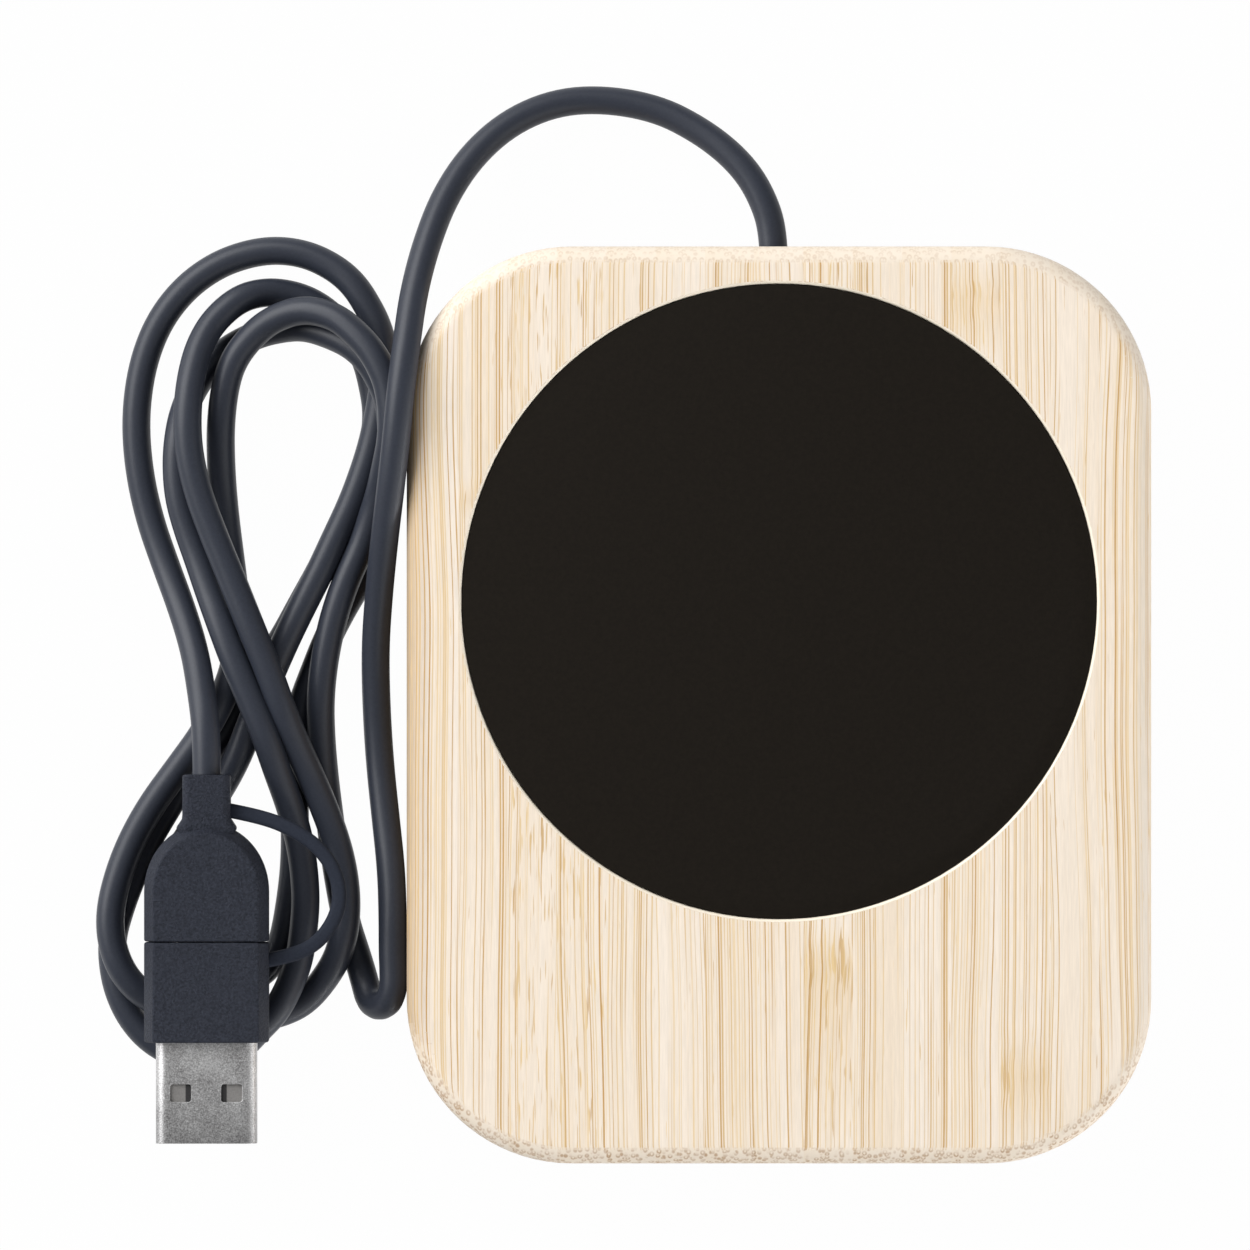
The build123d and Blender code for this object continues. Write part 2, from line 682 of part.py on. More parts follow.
def plug_overmold():
    """The moulded grip: a neck round the cord, then a flat body with a domed shoulder."""
    shoulder_y = plug_seam_y + plug_straight_length
    half = plug_width / 2
    outline = make_face([
        Line((plug_x - half, plug_seam_y), (plug_x + half, plug_seam_y)),
        Line((plug_x + half, plug_seam_y), (plug_x + half, shoulder_y)),
        ThreePointArc((plug_x + half, shoulder_y), (plug_x, shoulder_y + half), (plug_x - half, shoulder_y)),
        Line((plug_x - half, shoulder_y), (plug_x - half, plug_seam_y)),
    ])
    body = extrude(Pos(0, 0, plug_z - plug_thickness / 2) * outline, plug_thickness)
    flat = body.faces().filter_by(Axis.Z)
    rim = [e for face in flat for e in face.edges() if e.center().Y > plug_seam_y + 0.01]
    body = fillet(rim, plug_edge_radius)
    neck_end_y = shoulder_y + half - neck_overlap
    body += along_y(neck_width, neck_thickness, neck_corner_radius, neck_end_y, neck_start_y)
    body -= pill_y(usb_c_width, usb_c_height, plug_seam_y, plug_seam_y + usb_c_root)
    return body - usb_c_core()


def usb_c_shell():
    back = plug_seam_y + usb_c_root
    front = plug_seam_y - usb_c_reach
    shell = pill_y(usb_c_width, usb_c_height, front, back)
    return shell - pill_y(usb_c_width - 2 * usb_c_wall, usb_c_height - 2 * usb_c_wall, front, back)


def usb_c_core():
    """The contact block in the back of the shell, with its solder tail in the grip."""
    core_front = plug_seam_y + usb_c_root - usb_c_core_length
    core = pill_y(usb_c_width - 2 * usb_c_wall, usb_c_height - 2 * usb_c_wall, core_front,
                  plug_seam_y + usb_c_root)
    tail = along_y(usb_c_width - 2 * usb_c_wall, tongue_thickness, 0.1,
                   plug_seam_y + usb_c_root, plug_seam_y + usb_c_root + usb_c_tail_length)
    return core + tail


def adapter_housing():
    body = boxed(plug_x - plug_width / 2, plug_x + plug_width / 2, adapter_end_y, adapter_start_y,
                 plug_z - plug_thickness / 2, plug_z + plug_thickness / 2)
    body = fillet(body.edges().filter_by(Axis.Y), plug_edge_radius)
    return body - adapter_cavity()


def receptacle_section():
    grow = 2 * (receptacle_gap + receptacle_wall)
    return usb_c_width + grow, usb_c_height + grow


def adapter_cavity():
    width, height = receptacle_section()
    board_back = adapter_start_y - receptacle_depth - receptacle_base
    cavity = pill_y(width, height, board_back, adapter_start_y)
    cavity += along_y(adapter_board_width, height, 0.2, usb_a_back_y, board_back)
    cavity += along_y(usb_a_width, usb_a_height, usb_a_corner_radius, adapter_end_y, usb_a_back_y)
    return cavity


def usb_c_receptacle():
    width, height = receptacle_section()
    back = adapter_start_y - receptacle_depth - receptacle_base
    shell = pill_y(width, height, back, adapter_start_y)
    return shell - pill_y(width - 2 * receptacle_wall, height - 2 * receptacle_wall, back, adapter_start_y)


def receptacle_tongue():
    back = adapter_start_y - receptacle_depth - receptacle_base
    base = pill_y(usb_c_width + 2 * receptacle_gap, usb_c_height + 2 * receptacle_gap,
                  back, back + receptacle_base)
    blade = along_y(tongue_width, tongue_thickness, 0.2, back + receptacle_base,
                    back + receptacle_base + tongue_length)
    return base + blade


def adapter_board():
    back = adapter_start_y - receptacle_depth - receptacle_base
    return along_y(adapter_board_width, adapter_board_thickness, 0.1, usb_a_back_y, back)


def usb_a_shell():
    front = adapter_end_y - usb_a_reach
    shell = along_y(usb_a_width, usb_a_height, usb_a_corner_radius, front, usb_a_back_y)
    shell -= along_y(usb_a_width - 2 * usb_a_wall, usb_a_height - 2 * usb_a_wall,
                     usb_a_corner_radius / 2, front, usb_a_back_y)
    window_y = adapter_end_y - usb_a_window_setback
    for side in (-1, 1):
        x = plug_x + side * usb_a_window_x
        shell -= boxed(x - usb_a_window_width / 2, x + usb_a_window_width / 2,
                       window_y - usb_a_window_length / 2, window_y + usb_a_window_length / 2,
                       plug_z - usb_a_height, plug_z + usb_a_height)
    return shell


def usb_a_insulator():
    """The plastic tongue under the shell's top wall."""
    top = plug_z + usb_a_height / 2 - usb_a_wall
    half = usb_a_width / 2 - usb_a_wall - cord_bore_gap
    front = adapter_end_y - usb_a_reach + 0.4
    blade = boxed(plug_x - half, plug_x + half, front, usb_a_back_y, top - usb_a_insulator_height, top)
    blade = chamfer(blade.edges().filter_by(Axis.Y).sort_by(Axis.Z)[-2:], 0.2)
    for x in usb_a_contact_xs:
        blade -= contact_bar(x)
    return blade


def contact_bar(x):
    z = plug_z + usb_a_height / 2 - usb_a_wall - usb_a_insulator_height
    front = adapter_end_y - usb_a_reach + 1.4
    return boxed(plug_x + x - usb_a_contact_width / 2, plug_x + x + usb_a_contact_width / 2,
                 front, front + usb_a_contact_length, z, z + usb_a_contact_thickness)


def tether_strap():
    points = [(x, y, plug_z) for x, y in strap_route]
    path = FilletPolyline(*points, radius=corner_radii(points))
    start = Vector(*points[0])
    plane = Plane(origin=start, x_dir=(0, 0, 1), z_dir=Vector(*points[1]) - start)
    strap = sweep(plane * Rectangle(strap_thickness, strap_width), path=path)
    neck_side = plug_x + neck_width / 2
    adapter_side = plug_x + plug_width / 2
    strap -= boxed(neck_side - strap_width, neck_side, plug_seam_y, neck_start_y,
                   plug_z - strap_width, plug_z + strap_width)
    return strap - boxed(adapter_side - strap_width, adapter_side, adapter_end_y, adapter_start_y,
                         plug_z - strap_width, plug_z + strap_width)


def every_part():
    cord_tube = tube(cord_route, cord_diameter)
    plug_tube = tube(plug_end_route, cord_diameter)
    report_tube("cord_tube", cord_route, cord_tube, cord_diameter)
    report_tube("cord_plug_end", plug_end_route, plug_tube, cord_diameter)
    retainer_screws = [screw(x, y, retainer_bottom, 1, retainer_screw_diameter, retainer_screw_head,
                             retainer_screw_head_height, retainer_thickness + retainer_screw_bite)
                       for x, y in retainer_screw_centres()]
    cover_seat = wood_bottom + cover_screw_head_height
    cover_screws = [screw(x, y, cover_seat, 1, cover_screw_diameter, cover_screw_head,
                          cover_screw_head_height, cover_top - cover_seat + cover_screw_bite)
                    for x, y in cover_screw_centres()]
    board_screws = [screw(x, y, board_top, -1, board_screw_diameter, board_screw_head,
                          board_screw_head_height, board_thickness + board_screw_bite)
                    for x, y in board_screw_centres()]
    return {
        "bamboo_body": wood_block(),
        "heating_plate": heating_plate(),
        "plate_seal": plate_seal(),
        "heater_foil": heater_foil(),
        "insulation_felt": insulation_felt(),
        "retaining_plate": retaining_plate(),
        "retaining_screws": Compound(children=retainer_screws),
        "bottom_cover": bottom_cover(),
        "cover_screws": Compound(children=cover_screws),
        "rubber_feet": Compound(children=[rubber_foot(x, y) for x, y in foot_centres()]),
        "control_board": control_board(),
        "board_components": Compound(children=board_components()),
        "board_screws": Compound(children=board_screws),
        "thermistor": thermistor(),
        "thermal_fuse": thermal_fuse(),
        "fuse_clip": fuse_clip(),
        "supply_lead_red": tube(supply_lead(-1), lead_diameter),
        "supply_lead_black": tube(supply_lead(1), lead_diameter),
        "heater_leads": Compound(children=[tube(heater_lead(s), lead_diameter) for s in (-1, 1)]),
        "sensor_leads": Compound(children=[tube(sensor_lead(s), sensor_lead_diameter) for s in (-1, 1)]),
        "cord_grommet": cord_grommet(),
        "cord_crimp": cord_crimp(),
        "cord_inner": cord_inner(),
        "cord_tube": cord_tube,
        "cord_hank": cord_hank(),
        "cord_plug_end": plug_tube,
        "plug_overmold": plug_overmold(),
        "usb_c_shell": usb_c_shell(),
        "usb_c_core": usb_c_core(),
        "tether_strap": tether_strap(),
        "adapter_housing": adapter_housing(),
        "usb_c_receptacle": usb_c_receptacle(),
        "receptacle_tongue": receptacle_tongue(),
        "adapter_board": adapter_board(),
        "usb_a_shell": usb_a_shell(),
        "usb_a_insulator": usb_a_insulator(),
        "usb_a_contacts": Compound(children=[contact_bar(x) for x in usb_a_contact_xs]),
    }


os.makedirs("parts", exist_ok=True)
for node_name, solid in every_part().items():
    export_step(solid, os.path.join("parts", node_name + ".step"))
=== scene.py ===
"""Electric mug warmer: a bamboo block with a round heating plate, a bundled cord and USB plugs."""

import json
import math

import bmesh
import bpy
from bpy.props import FloatProperty, FloatVectorProperty, PointerProperty
from mathutils import Matrix, Vector


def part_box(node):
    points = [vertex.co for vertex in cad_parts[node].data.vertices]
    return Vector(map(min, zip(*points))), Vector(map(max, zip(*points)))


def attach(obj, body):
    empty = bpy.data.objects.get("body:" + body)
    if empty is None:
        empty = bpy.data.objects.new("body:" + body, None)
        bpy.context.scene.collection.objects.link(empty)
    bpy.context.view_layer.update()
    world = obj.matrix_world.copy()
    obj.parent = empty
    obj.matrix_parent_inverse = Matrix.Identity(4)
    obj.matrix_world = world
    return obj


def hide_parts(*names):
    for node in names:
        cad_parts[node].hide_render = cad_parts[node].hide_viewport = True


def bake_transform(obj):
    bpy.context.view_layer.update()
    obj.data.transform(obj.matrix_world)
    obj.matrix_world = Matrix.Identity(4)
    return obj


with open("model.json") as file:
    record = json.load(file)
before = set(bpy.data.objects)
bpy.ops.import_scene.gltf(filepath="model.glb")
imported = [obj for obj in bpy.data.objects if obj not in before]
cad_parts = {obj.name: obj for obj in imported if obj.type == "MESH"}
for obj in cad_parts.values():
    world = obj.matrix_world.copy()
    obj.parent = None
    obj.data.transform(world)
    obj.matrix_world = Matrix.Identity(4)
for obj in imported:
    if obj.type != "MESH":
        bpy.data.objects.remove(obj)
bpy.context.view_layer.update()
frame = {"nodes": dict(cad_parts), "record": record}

bl_info = {
    "name": "Electric mug warmer",
    "version": (1, 0, 0),
    "blender": (4, 5, 0),
    "location": "3D View > Sidebar > Mug warmer",
    "description": "Builds a bamboo mug warmer with its cord and plugs over its solid model",
    "category": "Add Mesh",
}

MM = 0.001


def linear(code):
    """The linear colour of an sRGB hex code."""
    parts = [int(code[i:i + 2], 16) / 255 for i in (1, 3, 5)]
    parts = [c / 12.92 if c <= 0.04045 else ((c + 0.055) / 1.055) ** 2.4 for c in parts]
    return (*parts, 1.0)


# ---------------------------------------------------------------------------- sizes and colours


def LengthProperty(name, description, size):
    """A property that holds a length, whose default is given in mm."""
    return FloatProperty(name=name, description=description, default=size * MM, unit="LENGTH")


def ColourProperty(name, description, code):
    """A property that holds a colour, whose default is given as a hex code."""
    return FloatVectorProperty(name=name, description=description, default=linear(code),
                               subtype="COLOR", size=4)


class WarmerSizes(bpy.types.PropertyGroup):
    """Lengths that the dressed pieces take beyond those of the solids."""

    cord_diameter: LengthProperty("Cord diameter", "Outside diameter of the jacket", 3.4)
    grip_slope: LengthProperty("Grip slope width", "Width of the slope round the grip's face", 1.15)
    grip_drop: LengthProperty("Grip slope height", "How far that slope falls", 2.5)
    grip_shoulder: LengthProperty("Grip shoulder radius", "Radius of the grip's round shoulders", 7.25)
    grip_edge: LengthProperty("Grip edge radius", "Radius that softens the edges of the grip", 0.25)
    neck_width: LengthProperty("Neck width", "Width of the square neck", 5.7)
    neck_thickness: LengthProperty("Neck thickness", "Thickness of the square neck", 5.4)
    neck_corner: LengthProperty("Neck corner radius", "Radius of the neck's long edges", 1.1)
    shell_corner: LengthProperty("Shell corner radius", "Outer radius of the rolled USB shell", 1.2)
    shell_wall: LengthProperty("Shell wall", "Sheet thickness of the USB shell", 0.3)
    shell_edge: LengthProperty("Shell edge radius", "Radius that stamping leaves on the sheet", 0.06)
    window_corner: LengthProperty("Window corner radius", "Corner radius of the shell's windows", 0.28)
    window_width: LengthProperty("Window width", "Width of a window across the shell", 2.5)
    window_length: LengthProperty("Window length", "Length of a window along the shell", 2.1)
    window_offset: LengthProperty("Window offset", "Distance from the shell's middle", 3.03)
    window_setback: LengthProperty("Window setback", "Distance from the shell's open end", 6.0)
    window_edge: LengthProperty("Window edge radius", "Radius at which sheet dips into a window", 0.2)
    plate_coating: LengthProperty("Plate coating", "Build-up of the coating on the plate's rim", 0.14)
    plate_lip: LengthProperty("Plate edge radius", "Radius of the plate's pressed edge", 0.15)
    strap_width: LengthProperty("Strap width", "Width of the tether seen from above", 1.75)
    strap_height: LengthProperty("Strap thickness", "Thickness between the tether's flat sides", 1.4)


class WarmerColours(bpy.types.PropertyGroup):
    """The main colours, as linear values."""

    bamboo_pale: ColourProperty("Bamboo", "Ground colour of the bamboo", "#F2E6D8")
    bamboo_fibre: ColourProperty("Bamboo fibre", "Colour of the fibres along the grain", "#E2C38B")
    plate: ColourProperty("Heating plate", "Colour of the plate's baked coating", "#191510")
    cord: ColourProperty("Cord", "Colour of the cord's jacket", "#2F333D")
    grip: ColourProperty("Plug grip", "Colour of the moulded plug and adapter", "#2F323B")


class StageSettings(bpy.types.PropertyGroup):
    """Where the camera hangs and how bright the studio is."""

    camera_height: LengthProperty("Camera height", "Height of the camera over the floor", 1500.0)
    view_width: LengthProperty("View width", "Width of the view at the height of the plate", 148.456)
    left_power: FloatProperty(
        name="Left softbox", description="Power of the softbox on the left, in watts", default=47.0)
    right_power: FloatProperty(
        name="Right softbox", description="Power of the softbox on the right, in watts",
        default=10.0)
    strip_power: FloatProperty(
        name="Low strip", description="Power of the strip light near the floor, in watts",
        default=15.0)
    ambient: FloatProperty(
        name="Ambient light", description="Strength of the even light from the room", default=0.23)


# ---------------------------------------------------------------------------- the cord's route
# Millimetres, in the frame of the solids. The first run leaves the rear wall, rises over the corner
# of the bundle and comes down its right side.

FIRST_RUN = [
    (-0.6, 54.5, 5.5), (-0.75, 57.0, 5.5), (-1.75, 60.1, 5.35), (-3.35, 63.1, 4.9),
    (-5.75, 65.85, 4.2), (-9.3, 68.6, 3.2), (-14.2, 71.2, 2.3), (-20.4, 72.4, 1.9),
    (-26.3, 72.1, 2.2), (-31.8, 69.8, 3.3), (-36.3, 65.9, 5.0), (-39.7, 60.8, 7.3),
    (-41.9, 55.0, 9.9), (-43.4, 49.1, 12.3), (-44.2, 43.2, 14.1), (-44.9, 37.6, 15.0),
    (-45.4, 32.0, 14.8), (-46.1, 26.0, 13.5), (-46.9, 19.8, 11.2), (-47.6, 13.4, 8.6),
    (-48.1, 6.8, 6.2), (-48.0, 0.0, 4.5), (-47.6, -6.8, 3.9), (-46.9, -13.4, 4.6),
    (-46.2, -19.6, 5.9), (-46.0, -25.0, 7.0), (-46.0, -29.5, 7.0),
]

FOLD = [
    (-45.9, -31.6, 7), (-45.9, -33.8, 7), (-46.5, -35.5, 6.4), (-47.7, -36.1, 5.1),
    (-48.8, -35.4, 3.8), (-49.3, -33.6, 2.7), (-50.1, -30.8, 2.1), (-51.2, -27.5, 1.8),
]

TURN_ONE = [
    (-51.7, -25.8, 1.75), (-52.8, -19.8, 1.75), (-53.6, -13.8, 1.8), (-54.2, -9.0, 2.4),
    (-54.6, -4.2, 3.6), (-54.7, 0.5, 4.9), (-54.2, 5.3, 5.2), (-53.2, 10.1, 5.2),
    (-51.7, 14.6, 5.2), (-49.9, 18.5, 5.3), (-48.7, 21.7, 5.9), (-47.6, 25.0, 7.1),
    (-46.8, 28.3, 9.2), (-46.1, 31.5, 11), (-46.0, 34.5, 11.5), (-46.4, 37.7, 11.6),
    (-47.2, 39.9, 11.5), (-48.5, 42.2, 11.1), (-50.3, 44.2, 10.4), (-52.8, 46.3, 9.3),
    (-56.6, 47.2, 7.8), (-60.2, 46.1, 6.6), (-62.8, 44.1, 5.6), (-65.1, 41.1, 5.2),
    (-66.1, 37.8, 5.1), (-66.6, 33.4, 4.8), (-66.6, 29.2, 3.6), (-66.4, 25.3, 2.6),
    (-66.0, 21.3, 2.2), (-65.5, 17.5, 2.3), (-65.0, 13.7, 3.0), (-64.7, 9.9, 4.2),
    (-64.6, 6.3, 5.0), (-65.5, 2.5, 5.1),
    (-68.2, -2.9, 5.1), (-71.7, -7.7, 5.1), (-74.8, -11.9, 5.1), (-77.2, -16.2, 5.1),
    (-78.8, -20.3, 5.1), (-79.8, -24.5, 5.1), (-79.7, -28.1, 5.1), (-78.6, -31.5, 5.1),
    (-76.6, -34.1, 4.8), (-74.1, -35.7, 3.8), (-70.7, -37.1, 2.5), (-65.8, -37.9, 1.8),
    (-61.7, -37.5, 1.75),
]

TURN_TWO = [
    (-58.7, -36.7, 1.75), (-56.4, -35.4, 1.8), (-54.4, -33.1, 2.6), (-52.7, -30.4, 4.2),
    (-51.8, -27.4, 5.3), (-51.5, -23.9, 5.3), (-51.8, -20.3, 5.2), (-52.7, -16.4, 5.2),
    (-54.2, -12.3, 5.4),
    (-55.8, -8.5, 6), (-57.5, -4.7, 7.2), (-59.2, -0.4, 8.6), (-60.9, 4.4, 9), (-63.0, 9.6, 9.1),
    (-65.1, 14.9, 8.8), (-67.3, 20.2, 8.5), (-69.2, 25.3, 8.4), (-70.3, 30.1, 8.4),
    (-70.5, 34.5, 8.3), (-70.1, 38.9, 7.4), (-69.1, 42.9, 6.0), (-67.3, 46.0, 4.8),
    (-64.3, 48.6, 4), (-61.0, 49.4, 2.8), (-57.8, 49.0, 2.1), (-55.0, 47.8, 1.9),
    (-52.4, 45.6, 1.8), (-50.4, 43.4, 1.9), (-49.2, 41.0, 1.75),
    (-48.5, 38.2, 1.75), (-48.0, 35.2, 1.75), (-48.2, 32.2, 1.75), (-49.2, 28.6, 1.75),
    (-50.5, 24.7, 1.75), (-52.5, 20.6, 1.75), (-54.6, 16.3, 1.75), (-57.0, 12.0, 1.75),
    (-59.3, 7.7, 1.75), (-62.0, 3.8, 1.75), (-64.3, 0.3, 1.75),
    (-66.0, -3.1, 1.75), (-68.4, -6.1, 1.75), (-71.0, -9.0, 1.75), (-73.2, -12.6, 1.75),
    (-75.4, -16.3, 1.75), (-77.1, -20.2, 1.75), (-78.6, -24.1, 1.75), (-79.7, -28.0, 1.75),
    (-79.6, -31.3, 1.75), (-78.9, -34.5, 1.75), (-77.4, -37.6, 1.75), (-75.0, -40.3, 1.75),
    (-71.4, -42.2, 1.75), (-67.4, -42.5, 2), (-64.0, -40.9, 3.4),
]

TURN_THREE = [
    (-61.9, -38.6, 4.9), (-60.0, -36.7, 5.2), (-58.4, -33.8, 5.2), (-57.2, -30.5, 5.2),
    (-56.7, -27.2, 5.2), (-56.4, -23.6, 5.2), (-56.6, -19.8, 5.2), (-57.2, -15.9, 5.3),
    (-58.4, -11.7, 6), (-59.8, -7.8, 7.4), (-61.1, -3.8, 8.5),
    (-63.0, 0.8, 8.6), (-64.9, 5.3, 8.5), (-66.5, 9.6, 7.8), (-68.0, 13.7, 6.5),
    (-69.3, 17.5, 5.6), (-70.6, 21.1, 5.2), (-71.6, 24.7, 5.1), (-71.9, 28.5, 5.0),
    (-71.7, 31.8, 4.8), (-71.1, 35.0, 3.8), (-69.8, 38.0, 2.6), (-68.0, 40.5, 1.9),
    (-65.7, 42.6, 1.75), (-62.3, 44.3, 1.9),
    (-59.2, 45.0, 2.6), (-56.4, 45.1, 4.3), (-53.6, 44.2, 5.6), (-50.9, 42.9, 7.1),
    (-48.9, 41.0, 7.9), (-47.5, 38.7, 8.2), (-46.5, 36.3, 8.1),
    (-46.2, 33.7, 7.9), (-46.1, 31.0, 7.4), (-46.1, 28.4, 5.8), (-46.4, 25.6, 3.9),
    (-46.9, 22.7, 2.3), (-48.1, 18.2, 1.75), (-50.3, 14.4, 1.75), (-52.2, 11.2, 1.75),
    (-54.0, 7.7, 1.75), (-55.5, 3.9, 1.75), (-57.0, 0.0, 1.75), (-57.8, -4.3, 1.75),
    (-57.9, -9.0, 1.75),
]

TURN_FOUR = [
    (-57.8, -13.8, 1.75), (-57.8, -18.0, 1.75), (-58.1, -21.9, 1.75), (-59.1, -28.1, 1.75),
    (-60.4, -30.8, 1.75), (-62.5, -32.7, 1.75), (-63.2, -32.4, 1.75), (-66.0, -33.1, 1.75),
    (-68.9, -32.6, 1.75), (-71.4, -31.1, 1.75), (-73.2, -28.6, 1.75), (-74.1, -25.4, 1.75),
    (-73.8, -22.1, 1.75), (-72.6, -19.0, 1.75), (-70.7, -16.0, 1.75),
    (-68.4, -12.6, 1.9), (-66.3, -9.5, 2.8), (-64.4, -5.9, 4.2), (-62.8, -1.8, 5),
    (-60.9, 2.9, 5.15), (-58.8, 7.7, 5.15), (-56.7, 12.0, 5.15), (-54.7, 15.9, 5.15),
    (-52.8, 20.0, 5.15), (-51.0, 23.8, 5.15), (-49.6, 27.5, 5.15), (-48.5, 31.0, 5.15),
    (-47.8, 34.2, 5.15), (-47.3, 37.1, 5), (-47.0, 40.0, 4.9), (-47.2, 43.0, 4.5),
    (-47.9, 45.3, 4.2), (-48.8, 47.2, 3.9),
]

LAST_RUN = [
    (-50.5, 50.0, 3.6), (-52.8, 52.1, 3.0), (-56.15, 53.8, 2.4), (-59.9, 54.4, 2.0),
    (-63.6, 53.9, 1.8), (-67.5, 52.4, 1.75), (-71.2, 49.6, 1.8), (-74.2, 45.6, 1.8),
    (-76.1, 40.5, 1.75), (-76.9, 34.4, 1.8), (-76.5, 28.2, 1.8), (-75.2, 22.2, 1.9),
    (-73.2, 16.6, 2.8), (-71.2, 11.4, 4.6), (-69.6, 6.4, 6.9), (-68.7, 1.4, 9.3),
    (-68.05, -3.4, 10.9), (-68.05, -8.3, 10.9),
]

STRAP_ROUTE = [
    (-65.7, -12.5), (-61.4, -13.3), (-57.6, -14.9), (-54.4, -17.2), (-52.4, -20.5),
    (-52.2, -24.2), (-54.2, -27.8), (-57.4, -29.8), (-61.1, -30.4),
]
STRAP_OVER_FLOOR = 10.9  # height of the strap's middle, in mm


# ---------------------------------------------------------------------------- nodes

NOISE = (0.3, 0.7)  # a noise mostly stays between these values


def feed(node, inputs):
    """Sets inputs of a node: each is a value, a socket, or a node for its first output in use."""
    for socket, value in inputs.items():
        if isinstance(value, bpy.types.Node):
            value = next(s for s in value.outputs if s.enabled)
        if isinstance(value, bpy.types.NodeSocket):
            node.id_data.links.new(value, node.inputs[socket])
        else:
            node.inputs[socket].default_value = value


def add(tree, kind, inputs=None, stops=None, **settings):
    """Adds a shader node to a tree, with its settings, its inputs and the stops of its ramp."""
    node = tree.nodes.new("ShaderNode" + kind)
    for name, value in settings.items():
        setattr(node, name, value)
    feed(node, inputs or {})
    if stops:
        elements = node.color_ramp.elements
        for place, _ in stops[2:]:
            elements.new(place)
        for element, (place, colour) in zip(elements, sorted(stops, key=lambda s: s[0])):
            element.position = place
            element.color = colour
    return node


def span(low, high, to_low=0.0, to_high=1.0):
    """The inputs that map one range to another."""
    return {"From Min": low, "From Max": high, "To Min": to_low, "To Max": to_high}


def grey(value):
    """A neutral colour for a ramp stop."""
    return (value, value, value, 1.0)


def shades(colour, spread):
    """A colour darkened and lightened by the same share."""
    return [tuple(min(1.0, c * share) for c in colour[:3]) + (1,)
            for share in (1 - spread, 1 + spread)]


def start_material(name, **sockets):
    """A material whose shader has its constant sockets set; returns it, its tree and the shader."""
    material = bpy.data.materials.new(name)
    material.use_nodes = True
    tree = material.node_tree
    tree.nodes.clear()
    shader = add(tree, "BsdfPrincipled", sockets)
    add(tree, "OutputMaterial", {"Surface": shader})
    return material, tree, shader


def reopen(material):
    """The tree of a finished material, its shader, and the socket that colours it."""
    tree = material.node_tree
    shader = next(n for n in tree.nodes if n.type == "BSDF_PRINCIPLED")
    return tree, shader, shader.inputs["Base Color"].links[0].from_socket


# ---------------------------------------------------------------------------- plastics and metals

GLOSS_PATCH = 9.0  # size of the patches in which the gloss of plastic drifts, in mm
METAL_CLOUD = 3.5  # size of the clouds on metal, in mm
CLOUD_SHARE = 0.35  # how much the clouds count beside the fine grain
PLASTIC_DRIFT = 0.02  # how far the roughness drifts either way
METAL_DRIFT = 0.07


def moulded(name, colour, roughness, grain=0.35, depth=0.02, speck=0.12, specular=0.4):
    """Moulded plastic or rubber: grain is the texture's spacing and depth its height, in mm."""
    material, tree, shader = start_material(name, **{"Specular IOR Level": specular})
    place = add(tree, "TexCoord").outputs["Object"]
    pits = add(tree, "TexNoise", {
        "Vector": place, "Scale": 1 / (grain * MM), "Detail": 3.0, "Roughness": 0.6})
    patches = add(tree, "TexNoise", {
        "Vector": place, "Scale": 1 / (GLOSS_PATCH * MM), "Detail": 2.0})
    tint = add(tree, "ValToRGB", {"Fac": pits}, stops=list(zip(NOISE, shades(colour, speck))))
    gloss = add(tree, "MapRange", {
        "Value": patches, **span(*NOISE, roughness - PLASTIC_DRIFT, roughness + PLASTIC_DRIFT)})
    bump = add(tree, "Bump", {"Height": pits, "Distance": depth * MM, "Strength": 1.0})
    feed(shader, {"Base Color": tint, "Roughness": gloss, "Normal": bump})
    return material


def metal(name, colour, roughness, grain=0.3, mottle=0.12, stretch=(1, 1, 1), depth=0.004):
    """Plain or plated metal: grain is the spacing of its mottling or brush lines, in mm."""
    material, tree, shader = start_material(name, Metallic=1.0)
    place = add(tree, "TexCoord").outputs["Object"]
    drawn = add(tree, "Mapping", {"Vector": place, "Scale": stretch})
    grit = add(tree, "TexNoise", {
        "Vector": drawn, "Scale": 1 / (grain * MM), "Detail": 4.0, "Roughness": 0.7})
    cloud = add(tree, "TexNoise", {
        "Vector": place, "Scale": 1 / (METAL_CLOUD * MM), "Detail": 3.0})
    mix = add(tree, "Math", {0: cloud, 1: CLOUD_SHARE, 2: grit}, operation="MULTIPLY_ADD")
    tint = add(tree, "ValToRGB", {"Fac": mix}, stops=list(zip((0.5, 0.85), shades(colour, mottle))))
    gloss = add(tree, "MapRange", {
        "Value": grit, **span(*NOISE, roughness - METAL_DRIFT, roughness + METAL_DRIFT)})
    bump = add(tree, "Bump", {"Height": grit, "Distance": depth * MM, "Strength": 1.0})
    feed(shader, {"Base Color": tint, "Roughness": gloss, "Normal": bump})
    return material


# ---------------------------------------------------------------------------- bamboo

# Lengths in mm. A pair is a pattern's size across and along the grain.
SLAT_WIDTH = 5.85  # one glued slat
FIRST_JOINT = -43.9  # x where the joints between the slats start
FIBRE = 0.32  # spacing of the long bundles across the grain
FIBRE_RUN = 45.0  # length over which a long bundle fades in and out
DASH = (0.22, 5.5)  # the short ends of bundles
DRIFT = (1.7, 140.0)  # the bands in which tone and gloss drift
FUZZ = (0.16, 3.0)  # the raggedness that the sander leaves
PORE = (0.5, 0.7)  # the bundles that show their ends on the end faces
SWAY_RUN = 45.0  # how soon the grain sways
SWAY = 1.3  # how far it sways either way
RIPPLE = (3.5, 6.0)  # the waves of the grain where a growth ring crosses it
RIPPLE_HEIGHT = 0.2
STAIN_START = 2.0  # how far under a growth ring its stain is full
LEFT_SHADE = (-44.2, -41.2)  # x between which the painted shade of the cord bundle on the left face fades out
